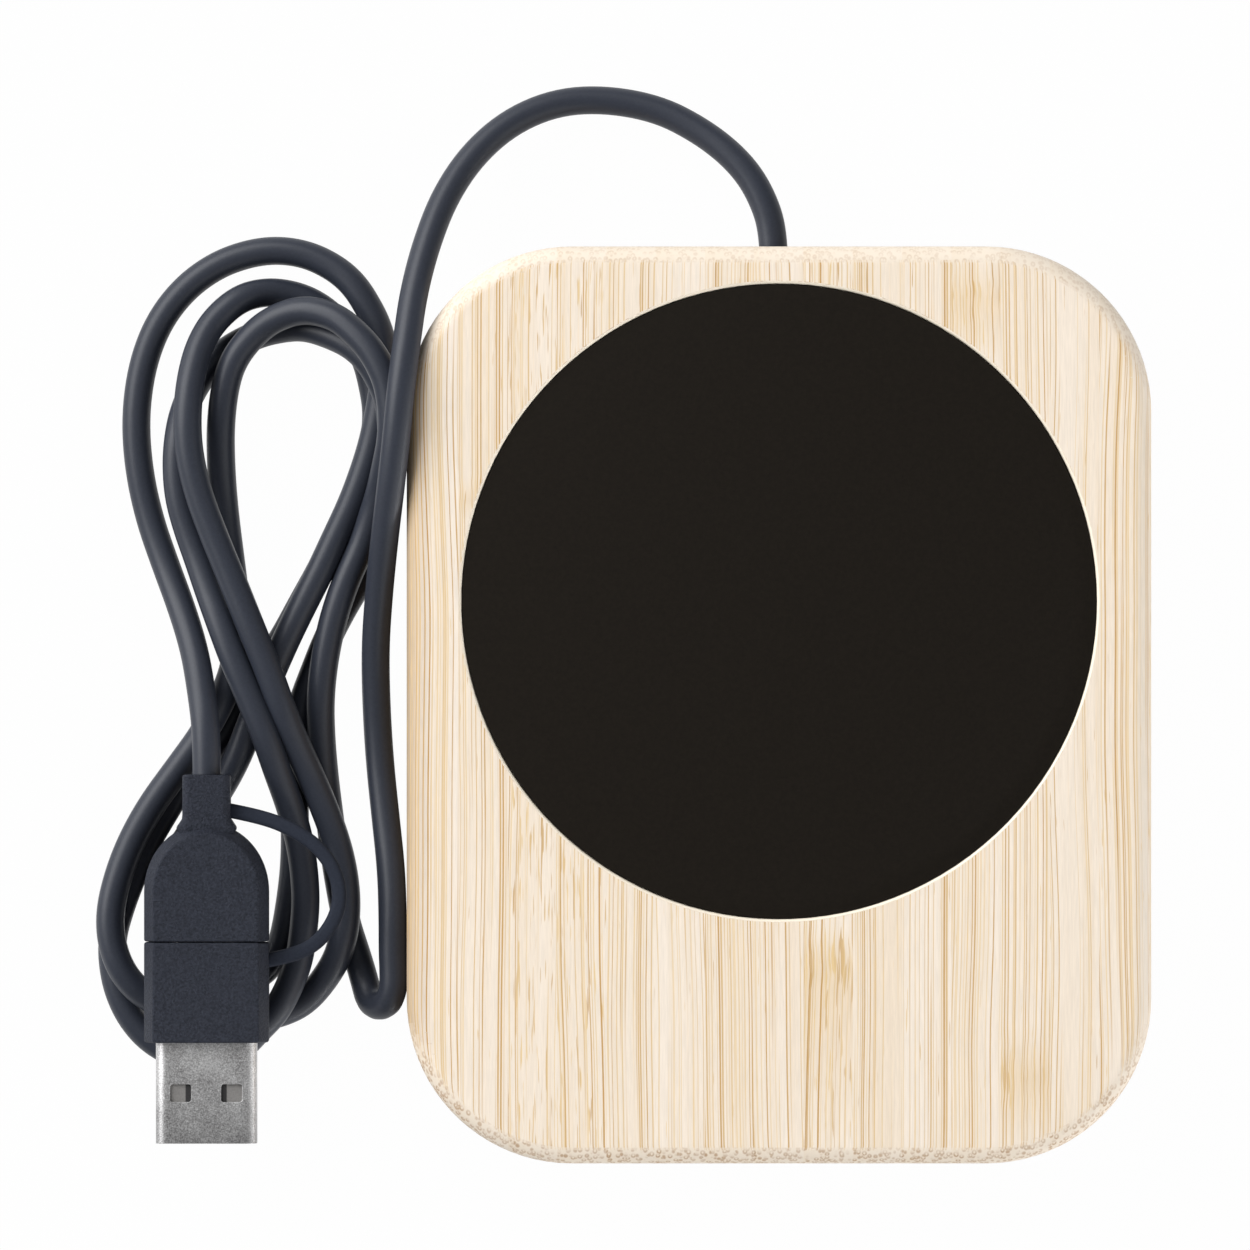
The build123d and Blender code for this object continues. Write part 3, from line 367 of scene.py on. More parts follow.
RIM_HIGHLIGHT = (0.45, 0.6)  # distances from the plate between which the painted highlight on the pocket's rim fades
FIBRE_RELIEF = 0.015  # how deep the sander digs into the fibres

HALF_WIDTHS = (0.12, 0.34)  # of the narrowest and the widest bundle, as shares of FIBRE
RAGGED = 0.12  # how far the sander frays a bundle, as such a share
PATCHY = 0.2  # how much the share of bundles drifts from band to band, and along each of them
# How the bundles crowd towards a slat's dense edge: place across the slat, and how many.
CROWD = [(0.0, 1.0), (0.08, 0.72), (0.4, 0.42), (1.0, 0.22)]
# How dark a bundle's end is, from its middle outwards.
PORE_RIM = [(0.16, 0.1), (0.3, 1.0), (0.46, 0.8), (0.62, 0.0)]
# How densely each slat is set with bundles, from the left.
SLAT_DENSITY = [1.0, 0.3, 0.45, 0.5, 0.65, 0.6, 0.65, 0.3, 0.5, 0.35, 0.6, 0.6, 0.4, 0.45, 0.35]
# Growth rings of the culm where they cross the top: slat number, y, half length, and how far the
# stain runs on below.
GROWTH_MARKS = [(8, -30.0, 4.5, 24.0), (12, -44.0, 7.0, 8.0), (11, 48.5, 6.0, 8.0),
                (1, 25.0, 2.6, 3.0)]

SLAT_TONE = linear("#EEE0CE")  # the darker slats
BAND_TONE = linear("#EAD8C0")  # bands that drift through the ground colour
STAIN_TONE = linear("#E3C9A2")  # under a growth ring
LEFT_SHADE_TONE = linear("#AD9577")  # painted shade, where the cord bundle shades the left face
DARK_FIBRE = linear("#BE9250")
END_PALE = linear("#F0E7DC")  # end faces where the bundles are few
END_DENSE = linear("#EBDDCA")
PORE_TONE = linear("#B08A62")
# painted highlight on the pocket's rim
RIM_HIGHLIGHT_TONE = linear("#FBF0DC")


def pitch(across, along):
    """The Mapping scale of a pattern with that size across and along the grain, in mm."""
    return (1 / (across * MM), 1 / (along * MM), 1 / (across * MM))


def bamboo_slats(tree, axes):
    """The slat's number, the place across it from 0 at its dense edge to 1, how densely it is set
    with bundles, and three chances that differ from slat to slat."""
    counted = add(tree, "MapRange", {
        "Value": axes.outputs["X"],
        **span(FIRST_JOINT * MM, (FIRST_JOINT + SLAT_WIDTH) * MM)}, clamp=False)
    slat = add(tree, "Math", {0: counted}, operation="FLOOR")
    across = add(tree, "Math", {0: counted}, operation="FRACT")
    slats = len(SLAT_DENSITY)
    order = add(tree, "Math", {0: slat, 1: 1 / slats, 2: 0.5 / slats}, operation="MULTIPLY_ADD")
    density = add(tree, "ValToRGB", {"Fac": order},
                  stops=[(k / slats, grey(d)) for k, d in enumerate(SLAT_DENSITY)])
    density.color_ramp.interpolation = "CONSTANT"
    dice = add(tree, "TexWhiteNoise", {"W": slat}, noise_dimensions="1D")
    chance = add(tree, "SeparateColor", {"Color": dice.outputs["Color"]})
    return slat, across, density, chance


def growth_rings(tree, axes, slat):
    """Where growth rings cross the top, and the stain that each leaves below it."""
    ring = None
    stain = None
    for number, y, half_length, run in GROWTH_MARKS:
        here = add(tree, "Math", {0: slat, 1: float(number), 2: 0.5}, operation="COMPARE")
        off = add(tree, "Math", {0: axes.outputs["Y"], 1: y * MM}, operation="SUBTRACT")
        distance = add(tree, "Math", {0: off}, operation="ABSOLUTE")
        near = add(tree, "MapRange", {"Value": distance, **span(0.0, half_length * MM, 1.0, 0.0)},
                   interpolation_type="SMOOTHSTEP")
        near = add(tree, "Math", {0: near, 1: here}, operation="MULTIPLY")
        above = add(tree, "MapRange", {
            "Value": off, **span(-STAIN_START * MM, half_length * MM, 1.0, 0.0)},
            interpolation_type="SMOOTHSTEP")
        below = add(tree, "MapRange", {"Value": off, **span(-run * MM, 0.0)})
        below = add(tree, "Math", {0: below, 1: above}, operation="MULTIPLY")
        below = add(tree, "Math", {0: below, 1: here}, operation="MULTIPLY")
        ring = near if ring is None else add(
            tree, "Math", {0: ring, 1: near}, operation="MAXIMUM")
        stain = below if stain is None else add(
            tree, "Math", {0: stain, 1: below}, operation="MAXIMUM")
    return ring, stain


def bent_grain(tree, place, slat, ring):
    """The place with the bends of the grain taken out: it sways a little, differently in each
    slat, and ripples where a growth ring crosses it."""
    swaying = add(tree, "TexNoise", {
        "Vector": place, "W": slat, "Scale": 1 / (SWAY_RUN * MM), "Detail": 1.0},
        noise_dimensions="4D")
    sway = add(tree, "MapRange", {"Value": swaying, **span(0.0, 1.0, -SWAY * MM, SWAY * MM)})
    waves = add(tree, "Mapping", {"Vector": place, "Scale": pitch(*RIPPLE)})
    rippling = add(tree, "TexNoise", {"Vector": waves, "Scale": 1.0, "Detail": 1.5})
    ripple = add(tree, "MapRange", {
        "Value": rippling, **span(*NOISE, -RIPPLE_HEIGHT * MM, RIPPLE_HEIGHT * MM)})
    shift = add(tree, "Math", {0: ripple, 1: ring, 2: sway}, operation="MULTIPLY_ADD")
    sideways = add(tree, "CombineXYZ", {"X": shift})
    return add(tree, "VectorMath", {0: place, 1: sideways}, operation="ADD")


def long_fibres(tree, axes, bent, slat, share, fuzz):
    """Long bundles, each a cell of its own across the grain with its own width and tone. The share
    says how many there are. Returns their lines, and three chances that differ by bundle."""
    # The way down the side faces counts too, so they are lined along the grain as well.
    side = add(tree, "Math", {0: axes.outputs["X"]}, operation="SIGN")
    down = add(tree, "Math", {0: side, 1: axes.outputs["Z"]}, operation="MULTIPLY")
    bent_x = add(tree, "SeparateXYZ", {"Vector": bent}).outputs["X"]
    crosswise = add(tree, "Math", {0: bent_x, 1: down}, operation="SUBTRACT")
    counted = add(tree, "Math", {0: crosswise, 1: 1 / (FIBRE * MM), 2: slat},
                  operation="MULTIPLY_ADD")
    cells = add(tree, "TexVoronoi", {"W": counted, "Scale": 1.0, "Randomness": 1.0},
                voronoi_dimensions="1D")
    bundle = add(tree, "SeparateColor", {"Color": cells.outputs["Color"]})
    # Each fades in and out along its run, at a place of the noise that is its own.
    apart = add(tree, "Math", {0: bundle.outputs["Blue"], 1: 40.0}, operation="MULTIPLY")
    along = add(tree, "Math", {0: axes.outputs["Y"], 1: 1 / (FIBRE_RUN * MM)},
                operation="MULTIPLY")
    own_place = add(tree, "CombineXYZ", {"X": apart, "Y": along})
    fading = add(tree, "TexNoise", {"Vector": own_place, "Scale": 1.0, "Detail": 1.0})
    faded = add(tree, "MapRange", {"Value": fading, **span(*NOISE, -PATCHY, PATCHY)})
    share = add(tree, "Math", {0: share, 1: faded}, operation="ADD")
    spare = add(tree, "Math", {0: share, 1: bundle.outputs["Red"]}, operation="SUBTRACT")
    present = add(tree, "MapRange", {"Value": spare, **span(0.0, 0.15)})
    frayed = add(tree, "MapRange", {"Value": fuzz, **span(0.0, 1.0, -RAGGED, RAGGED)})
    own_width = add(tree, "MapRange", {
        "Value": bundle.outputs["Green"], **span(0.0, 1.0, *HALF_WIDTHS)})
    half_width = add(tree, "Math", {0: frayed, 1: own_width}, operation="ADD")
    depth = add(tree, "Math", {0: half_width, 1: cells.outputs["Distance"]}, operation="SUBTRACT")
    inside = add(tree, "MapRange", {"Value": depth, **span(-0.06, 0.1)},
                 interpolation_type="SMOOTHSTEP")
    strength = add(tree, "MapRange", {
        "Value": bundle.outputs["Blue"], **span(0.0, 1.0, 0.5, 1.0)})
    line = add(tree, "Math", {0: present, 1: inside}, operation="MULTIPLY")
    return add(tree, "Math", {0: line, 1: strength}, operation="MULTIPLY"), bundle


def short_fibres(tree, bent, slat, chance, ring):
    """Short ends of bundles, which some slats have more of, and the growth rings too."""
    stretched = add(tree, "Mapping", {
        "Vector": bent, "Location": (0.7, 0.3, 0.0), "Scale": pitch(*DASH)})
    dashes = add(tree, "TexNoise", {
        "Vector": stretched, "W": slat, "Scale": 1.0, "Detail": 1.0}, noise_dimensions="4D")
    frayed = add(tree, "MapRange", {
        "Value": chance.outputs["Blue"], **span(0.6, 0.9, 0.7, 0.6)})
    limit = add(tree, "Math", {0: ring, 1: -0.1, 2: frayed}, operation="MULTIPLY_ADD")
    spare = add(tree, "Math", {0: dashes, 1: limit}, operation="SUBTRACT")
    return add(tree, "MapRange", {"Value": spare, **span(0.0, 0.06, 0.0, 0.8)},
               interpolation_type="SMOOTHSTEP")


def long_grain(tree, colours, axes, chance, bundle, fibre, drift, stain, fuzz):
    """Colour of the top and sides: a pale ground that differs from slat to slat, golden lines that
    darken in some bundles, a stain under a growth ring, and painted shade on the left face."""
    banded = add(tree, "MapRange", {"Value": drift, **span(0.42, 0.7, 0.0, 0.75)})
    stained = add(tree, "Math", {0: stain, 1: 0.6}, operation="MULTIPLY")
    # Painted shade: the left face, which the cord bundle shades, is painted browner.
    left_shade = add(tree, "MapRange", {
        "Value": axes.outputs["X"], **span(LEFT_SHADE[0] * MM, LEFT_SHADE[1] * MM, 0.9, 0.0)})
    colour = colours.bamboo_pale
    for share, tone in ((chance.outputs["Green"], SLAT_TONE), (banded, BAND_TONE),
                        (stained, STAIN_TONE), (left_shade, LEFT_SHADE_TONE)):
        colour = add(tree, "Mix", {"Factor": share, "A": colour, "B": tone}, data_type="RGBA")
    darkened = add(tree, "MapRange", {"Value": bundle.outputs["Blue"], **span(0.3, 1.0)})
    gold = add(tree, "Mix", {"Factor": darkened, "A": colours.bamboo_fibre, "B": DARK_FIBRE},
               data_type="RGBA")
    wood = add(tree, "Mix", {"Factor": fibre, "A": colour, "B": gold}, data_type="RGBA")
    speckle = add(tree, "MapRange", {"Value": fuzz, **span(*NOISE, 0.94, 1.04)})
    return add(tree, "VectorMath", {0: wood, 1: speckle}, operation="MULTIPLY")


def end_grain(tree, place, facing, crowding, fuzz):
    """Colour and pores of the end faces: the bundles seen end on, as grey brown crescents that
    crowd at each slat's dense edge."""
    stretched = add(tree, "Mapping", {"Vector": place, "Scale": pitch(*PORE)})
    warped = add(tree, "Mix", {
        "Factor": 0.12, "A": stretched, "B": fuzz.outputs["Color"]}, data_type="VECTOR")
    pores = add(tree, "TexVoronoi", {"Vector": warped, "Scale": 1.0, "Randomness": 1.0})
    rim = add(tree, "ValToRGB", {"Fac": pores.outputs["Distance"]},
              stops=[(reach, grey(dark)) for reach, dark in PORE_RIM])
    # Each pore is open on one side, so its rim is a crescent.
    inner = add(tree, "VectorMath", {0: warped, 1: pores.outputs["Position"]},
                operation="SUBTRACT")
    upwards = add(tree, "SeparateXYZ", {"Vector": inner}).outputs["Z"]
    open_side = add(tree, "MapRange", {"Value": upwards, **span(-0.1, 0.3, 1.0, 0.15)})
    packed = add(tree, "MapRange", {"Value": crowding, **span(0.2, 1.1, 0.55, 1.0)})
    # Painted light: the pores fade on the rear end face, which faces the key light, so that end is
    # painted paler than the front end.
    painted_light_fade = add(tree, "MapRange", {
        "Value": facing.outputs["Y"], **span(-0.5, 0.5, 0.9, 0.3)})
    crowded = add(tree, "Math", {0: rim.outputs["Color"], 1: packed}, operation="MULTIPLY")
    opened = add(tree, "Math", {0: painted_light_fade, 1: open_side}, operation="MULTIPLY")
    pore = add(tree, "Math", {0: crowded, 1: opened}, operation="MULTIPLY")
    ground = add(tree, "Mix", {"Factor": packed, "A": END_PALE, "B": END_DENSE},
                 data_type="RGBA")
    return add(tree, "Mix", {"Factor": pore, "A": ground, "B": PORE_TONE},
               data_type="RGBA"), pore


def rim_highlight(tree, axes):
    """How near a point is to the pocket's rim, which carries a painted highlight."""
    low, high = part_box("heating_plate")
    centre = (low + high) / 2
    radius = (high.x - low.x) / 2
    flat = add(tree, "CombineXYZ", {"X": axes.outputs["X"], "Y": axes.outputs["Y"]})
    distance = add(tree, "VectorMath", {0: flat, 1: (centre.x, centre.y, 0.0)},
                   operation="DISTANCE")
    full, gone = RIM_HIGHLIGHT
    return add(tree, "MapRange", {
        "Value": distance, **span(radius + full * MM, radius + gone * MM, 1.0, 0.0)})


def bamboo_material(colours):
    """Laminated bamboo, sanded and lacquered. Each slat is dense with golden fibres along one edge
    and pale along the other; the same bundles are cut to specks on the end faces."""
    material, tree, shader = start_material("Laminated bamboo, satin lacquer", **{
        "Specular IOR Level": 0.3, "Coat Weight": 0.08, "Coat Roughness": 0.4})
    place = add(tree, "TexCoord").outputs["Object"]
    axes = add(tree, "SeparateXYZ", {"Vector": place})
    slat, across, density, chance = bamboo_slats(tree, axes)
    ring, stain = growth_rings(tree, axes, slat)
    bent = bent_grain(tree, place, slat, ring)
    bands = add(tree, "Mapping", {"Vector": bent, "Scale": pitch(*DRIFT)})
    drift = add(tree, "TexNoise", {
        "Vector": bands, "W": slat, "Scale": 1.0, "Detail": 2.0}, noise_dimensions="4D")
    streaks = add(tree, "Mapping", {"Vector": place, "Scale": pitch(*FUZZ)})
    fuzz = add(tree, "TexNoise", {"Vector": streaks, "Scale": 1.0, "Detail": 2.0})
    # The bundles crowd at the dense edge of a slat, and come in groups.
    crowd = add(tree, "ValToRGB", {"Fac": across},
                stops=[(place_across, grey(many)) for place_across, many in CROWD])
    crowding = add(tree, "Math", {0: density, 1: 0.55, 2: crowd}, operation="MULTIPLY_ADD")
    share = add(tree, "MapRange", {"Value": crowding, **span(0.3, 1.4, 0.32, 1.0)})
    grouped = add(tree, "MapRange", {"Value": drift, **span(0.35, 0.65, -PATCHY, PATCHY)})
    share = add(tree, "Math", {0: share, 1: grouped}, operation="ADD")
    line, bundle = long_fibres(tree, axes, bent, slat, share, fuzz)
    dash = short_fibres(tree, bent, slat, chance, ring)
    fibre = add(tree, "Math", {0: line, 1: dash}, operation="MAXIMUM")
    wood = long_grain(tree, colours, axes, chance, bundle, fibre, drift, stain, fuzz)
    normal = add(tree, "NewGeometry").outputs["True Normal"]
    facing = add(tree, "SeparateXYZ", {"Vector": normal})
    end, pore = end_grain(tree, place, facing, crowding, fuzz)
    turned = add(tree, "Math", {0: facing.outputs["Y"]}, operation="ABSOLUTE")
    end_on = add(tree, "MapRange", {"Value": turned, **span(0.1, 0.3)})
    finished = add(tree, "Mix", {"Factor": end_on, "A": wood, "B": end}, data_type="RGBA")
    # Painted highlight: a pale ring round the pocket's rim.
    rimmed = add(tree, "Mix", {
        "Factor": rim_highlight(tree, axes), "A": finished, "B": RIM_HIGHLIGHT_TONE}, data_type="RGBA")
    gloss = add(tree, "MapRange", {"Value": drift, **span(*NOISE, 0.48, 0.6)})
    relief = add(tree, "Mix", {"Factor": end_on, "A": fibre, "B": pore})
    bump = add(tree, "Bump", {
        "Height": relief, "Distance": FIBRE_RELIEF * MM, "Strength": 0.6}, invert=True)
    feed(shader, {"Base Color": rimmed, "Roughness": gloss, "Normal": bump})
    return material


# ---------------------------------------------------------------------------- other finishes

BRICK_ROW = 0.25  # height of a row of the brick pattern, in its own units
TRACK_SPACING = 0.4  # of the rows of copper tracks on the board, in mm
MASK_RELIEF = 0.03  # how far the tracks stand out under the mask, in mm
WAVE_PERIOD = math.tau / 20  # of the wave pattern, in its own units
MEANDER_SPACING = 1.53  # of the heater's element, in mm
DARK_BAND_HALF_WIDTH = 2.4  # half width of the dark band along the middle of the tongue, in mm
DARK_BAND_EDGE = 0.1  # width over which that band fades, in mm
OPEN_END_SHADE = 0.55  # share of the nickel's brightness that painted shade leaves at the open end


def board_material():
    """Glass-epoxy board under green solder mask, with copper tracks showing as a lighter green."""
    material, tree, shader = start_material("Solder mask on glass epoxy", Roughness=0.32)
    place = add(tree, "TexCoord").outputs["Object"]
    tracks = add(tree, "TexBrick", {
        "Vector": place, "Scale": BRICK_ROW / (TRACK_SPACING * MM), "Mortar Size": 0.12,
        "Color1": linear("#0F4A2A"), "Color2": linear("#125530"), "Mortar": linear("#1E7A45")})
    bump = add(tree, "Bump", {
        "Height": tracks.outputs["Fac"], "Distance": MASK_RELIEF * MM, "Strength": 0.8})
    feed(shader, {"Base Color": tracks, "Normal": bump})
    return material


def foil_material():
    """Amber polyimide film with an etched element in a narrow meander under it."""
    material, tree, shader = start_material("Polyimide film with etched track", Roughness=0.28)
    place = add(tree, "TexCoord").outputs["Object"]
    rings = add(tree, "TexWave", {
        "Vector": place, "Scale": WAVE_PERIOD / (MEANDER_SPACING * MM), "Distortion": 0.0},
        wave_type="RINGS", rings_direction="Z")
    tint = add(tree, "ValToRGB", {"Fac": rings.outputs["Fac"]},
               stops=[(0.45, linear("#B5651D")), (0.55, linear("#6F5A48"))])
    feed(shader, {"Base Color": tint})
    return material


def liner_material():
    """The tongue inside the USB shell: bare grey plastic, darker along a band down its middle."""
    material = moulded("Moulded PBT, grey", linear("#7C7A78"), 0.55, grain=0.2, depth=0.01)
    tree, shader, plain = reopen(material)
    low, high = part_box("usb_a_insulator")
    place = add(tree, "TexCoord").outputs["Object"]
    off = add(tree, "VectorMath", {0: place, 1: ((low.x + high.x) / 2, 0.0, 0.0)},
              operation="SUBTRACT")
    off_x = add(tree, "SeparateXYZ", {"Vector": off}).outputs["X"]
    side = add(tree, "Math", {0: off_x}, operation="ABSOLUTE")
    dark_band = add(tree, "MapRange", {"Value": side, **span(
        DARK_BAND_HALF_WIDTH * MM, (DARK_BAND_HALF_WIDTH + DARK_BAND_EDGE) * MM, 1.0, 0.0)})
    tint = add(tree, "Mix", {"Factor": dark_band, "A": plain, "B": linear("#2B2A2B")},
               data_type="RGBA")
    feed(shader, {"Base Color": tint})
    return material


def shell_material():
    """Barrel-finished nickel plate, grey and mottled, with painted shade that darkens it towards the
    open end.
    """
    material = metal("Nickel-plated steel", linear("#F8F5F6"), 0.46, grain=0.17, mottle=0.6,
                     depth=0.012)
    tree, shader, plain = reopen(material)
    low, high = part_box("usb_a_shell")
    place = add(tree, "TexCoord").outputs["Object"]
    along = add(tree, "SeparateXYZ", {"Vector": place}).outputs["Y"]
    # Painted shade: the nickel darkens towards the open end.
    painted_shade = add(tree, "MapRange", {
        "Value": along, **span(low.y, high.y, OPEN_END_SHADE, 1.0)})
    tint = add(tree, "VectorMath", {0: plain, 1: painted_shade}, operation="MULTIPLY")
    feed(shader, {"Base Color": tint})
    return material


def make_materials(colours):
    """Every material, under the name of the slot in the record that it finishes."""
    return {
        "bamboo": bamboo_material(colours),
        # Baked ceramic coating on pressed steel: nearly matt, with a faint orange peel.
        "plate_black": moulded("Baked ceramic coating, matt black", colours.plate, 0.62,
                               grain=0.5, depth=0.012, speck=0.12, specular=0.09),
        # Silicone foam tape: open pores.
        "seal_rubber": moulded("Silicone foam", linear("#151515"), 0.85, grain=0.5, depth=0.08),
        "foil_amber": foil_material(),
        # Pressed glass fibre felt: pale, soft and fibrous.
        "felt_grey": moulded("Glass fibre felt", linear("#B9B6AE"), 0.95, grain=0.6, depth=0.15,
                             speck=0.2, specular=0.1),
        # Mill-finish aluminium sheet: faint rolling lines.
        "sheet_aluminium": metal("Mill finish aluminium", linear("#D5D6D8"), 0.32, grain=0.25,
                                 stretch=(1, 0.06, 1)),
        # Zinc-plated steel screws: bright, slightly blue, cloudy.
        "screw_steel": metal("Zinc-plated steel", linear("#C6C8CB"), 0.3, grain=0.4, mottle=0.15),
        # Injection-moulded ABS with a fine texture.
        "cover_black": moulded("Textured ABS, black", linear("#1F2023"), 0.55, grain=0.4,
                               depth=0.03),
        # Silicone rubber feet: dead matt with dust in the pores.
        "foot_rubber": moulded("Silicone rubber, black", linear("#161616"), 0.8, grain=0.7,
                               depth=0.02, speck=0.2, specular=0.25),
        "board_green": board_material(),
        # Moulded epoxy packages: slightly rough, very even.
        "component_black": moulded("Moulded epoxy", linear("#191A1C"), 0.6, grain=0.15,
                                   depth=0.01),
        # Dipped thermistor bead: glossy red brown glaze.
        "sensor_glaze": moulded("Dipped glaze", linear("#8E3A1E"), 0.2, grain=1.2, depth=0.02),
        # Tinned metal fuse case: soft, smudged shine.
        "fuse_metal": metal("Tinned brass", linear("#CACAC4"), 0.35, grain=0.5, mottle=0.2),
        # Extruded PVC insulation: smooth and waxy.
        "lead_red": moulded("PVC insulation, red", linear("#A8201C"), 0.4, grain=0.9,
                            depth=0.01),
        "lead_black": moulded("PVC insulation, black", linear("#18181A"), 0.4, grain=0.9,
                              depth=0.01),
        # Heat-proof silicone sleeve: chalky white.
        "lead_white": moulded("Silicone insulation, white", linear("#E2E0D8"), 0.6, grain=0.8,
                              depth=0.01),
        # Extruded elastomer jacket: satin, with a barely visible drag texture.
        "cord_charcoal": moulded("Thermoplastic elastomer jacket", colours.cord, 0.42, grain=0.3,
                                 depth=0.006, speck=0.1, specular=0.34),
        # Moulded rubber: dull, with a fine grain.
        "grommet_black": moulded("Moulded rubber, black", linear("#17181A"), 0.7, grain=0.4,
                                 depth=0.015),
        # Spark-eroded mould texture on ABS: a fine leathery grain that breaks up the light. It is
        # drawn deeper than it is, so that it shows.
        "plug_charcoal": moulded("Spark-eroded ABS, charcoal", colours.grip, 0.5, grain=0.26,
                                 depth=0.25, speck=0.4, specular=0.08),
        # Elastomer strap: the same charcoal, smoother.
        "strap_charcoal": moulded("Elastomer strap", colours.cord, 0.55, grain=0.3, depth=0.008,
                                  speck=0.1, specular=0.03),
        "nickel": shell_material(),
        # Moulded PBT: even and slightly shiny.
        "insulator_black": moulded("Moulded PBT, black", linear("#16171A"), 0.5, grain=0.2,
                                   depth=0.01),
        "insulator_white": liner_material(),
        # Gold flash on copper contacts: warm and smooth.
        "contact_gold": metal("Gold-plated contact", linear("#D9B25A"), 0.22, grain=0.3,
                              mottle=0.08),
    }


MATERIALS = {}  # filled by the finishes, under the names of the record's slots


# ---------------------------------------------------------------------------- pieces

SAME = 1e-7  # places this close, in metres, count as one
MERGE = 1e-6  # distance at which loose triangles are joined, in metres
ALONG = 0.9  # a direction with more than this of an axis runs along it
STANDING = 0.3  # a face whose normal rises less than this stands up
GRIP_BACK = -14.1  # y of the back of the grip's shoulders, in mm
SHOULDER_STRETCH = 1.12  # the shoulders are a little longer than they are wide
NECK_ROOT = 2.0  # how far the neck reaches into the grip, in mm
# How the neck spreads towards its root: height over the shoulders in mm, and widening.
NECK_FLARE = [(1.0, 1.0), (0.55, 1.02), (0.15, 1.09), (-0.5, 1.18)]


def new_piece(name, bm, slot, body, node, sharp=35.0):
    """Links a finished bmesh as a piece that stands for a CAD node and may ride on a body."""
    mesh = bpy.data.meshes.new(name)
    bm.to_mesh(mesh)
    bm.free()
    mesh.shade_smooth()
    mesh.set_sharp_from_angle(angle=math.radians(sharp))
    mesh.materials.append(MATERIALS[slot])
    piece = bpy.data.objects.new(name, mesh)
    bpy.context.scene.collection.objects.link(piece)
    if body:
        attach(piece, body)
    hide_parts(node)
    return piece


def smooth_copy(name, node, slot, body, sharp=30.0):
    """A piece from a copy of a node's mesh, with its triangles joined so that it shades well."""
    bm = bmesh.new()
    bm.from_mesh(frame["nodes"][node].data)
    bmesh.ops.remove_doubles(bm, verts=bm.verts, dist=MERGE)
    return new_piece(name, bm, slot, body, node, sharp=sharp)


def box_mesh(low, high):
    """A bmesh box between two corners."""
    bm = bmesh.new()
    matrix = Matrix.Translation((low + high) / 2) @ Matrix.Diagonal((*(high - low), 1.0))
    bmesh.ops.create_cube(bm, size=1.0, matrix=matrix)
    return bm


def slice_mesh(bm, place, way, **options):
    """Cuts a bmesh along the plane through a place that faces that way."""
    return bmesh.ops.bisect_plane(bm, geom=bm.verts[:] + bm.edges[:] + bm.faces[:], dist=SAME,
                                  plane_co=place, plane_no=way, **options)


def edges_along_y(bm):
    """Edges of a bmesh that run along y."""
    return [e for e in bm.edges
            if abs((e.verts[1].co - e.verts[0].co).normalized().y) > ALONG]


def round_edges(bm, edges, radius, segments):
    """Bevels edges to a round of that radius."""
    bmesh.ops.bevel(bm, geom=edges, offset=radius, offset_type="OFFSET", affect="EDGES",
                    segments=segments, profile=0.5, material=-1, clamp_overlap=True)


def round_corners(bm, corners, radius, segments):
    """Bevels the corners of flat faces to a round of that radius."""
    bmesh.ops.bevel(bm, geom=corners, offset=radius, offset_type="OFFSET", affect="VERTICES",
                    segments=segments, profile=0.5, material=-1)


def soften_edges(piece, width, angle=25.0):
    """A live bevel on the edges that turn by more than that angle, in degrees."""
    bevel = piece.modifiers.new("Soft edges", "BEVEL")
    bevel.width = width
    bevel.segments = 3
    bevel.limit_method = "ANGLE"
    bevel.angle_limit = math.radians(angle)
    bevel.harden_normals = True


def new_strand(name, route, diameter, steps):
    """A round strand along a route in mm, as a curve."""
    curve = bpy.data.curves.new(name, "CURVE")
    curve.dimensions = "3D"
    spline = curve.splines.new("NURBS")
    spline.points.add(len(route) - 1)
    for point, place in zip(spline.points, route):
        point.co = (*(Vector(place) * MM), 1.0)
    spline.order_u = 3
    spline.use_endpoint_u = True
    spline.resolution_u = steps
    curve.bevel_depth = diameter / 2
    curve.bevel_resolution = 6
    curve.use_fill_caps = True
    strand = bpy.data.objects.new(name, curve)
    bpy.context.scene.collection.objects.link(strand)
    return strand


class WARMER_OT_finishes(bpy.types.Operator):
    """Gives every solid of the model the finish of its slot"""

    bl_idname = "warmer.finishes"
    bl_label = "Finishes"

    def execute(self, context):
        MATERIALS.update(make_materials(context.scene.warmer_colours))
        for part in frame["record"]["subparts"]:
            if part["material_slot"] not in MATERIALS:
                raise RuntimeError(f"{part['node']} has no finish")
            mesh = frame["nodes"][part["node"]].data
            mesh.materials.clear()
            mesh.materials.append(MATERIALS[part["material_slot"]])
        return {"FINISHED"}


class WARMER_OT_block(bpy.types.Operator):
    """Builds the bamboo block with its rounded edges, pocket and cord hole"""

    bl_idname = "warmer.block"
    bl_label = "Bamboo block"

    def execute(self, context):
        block = smooth_copy("bamboo_block", "bamboo_body", "bamboo", "warmer", sharp=28.0)
        weights = block.modifiers.new("Face weighted normals", "WEIGHTED_NORMAL")
        weights.keep_sharp = True
        return {"FINISHED"}


class WARMER_OT_plate(bpy.types.Operator):
    """Builds the round heating plate with its softened rim"""

    bl_idname = "warmer.plate"
    bl_label = "Heating plate"

    def execute(self, context):
        sizes = context.scene.warmer_sizes
        low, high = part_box("heating_plate")
        radius = (high.x - low.x) / 2 + sizes.plate_coating
        bm = bmesh.new()
        bmesh.ops.create_cone(
            bm, cap_ends=True, cap_tris=False, segments=192, radius1=radius, radius2=radius,
            depth=high.z - low.z, matrix=Matrix.Translation((low + high) / 2))
        rims = [e for e in bm.edges if abs(e.verts[0].co.z - e.verts[1].co.z) < SAME]
        round_edges(bm, rims, sizes.plate_lip, 4)
        new_piece("coated_plate", bm, "plate_black", "warmer", "heating_plate", sharp=40.0)
        return {"FINISHED"}


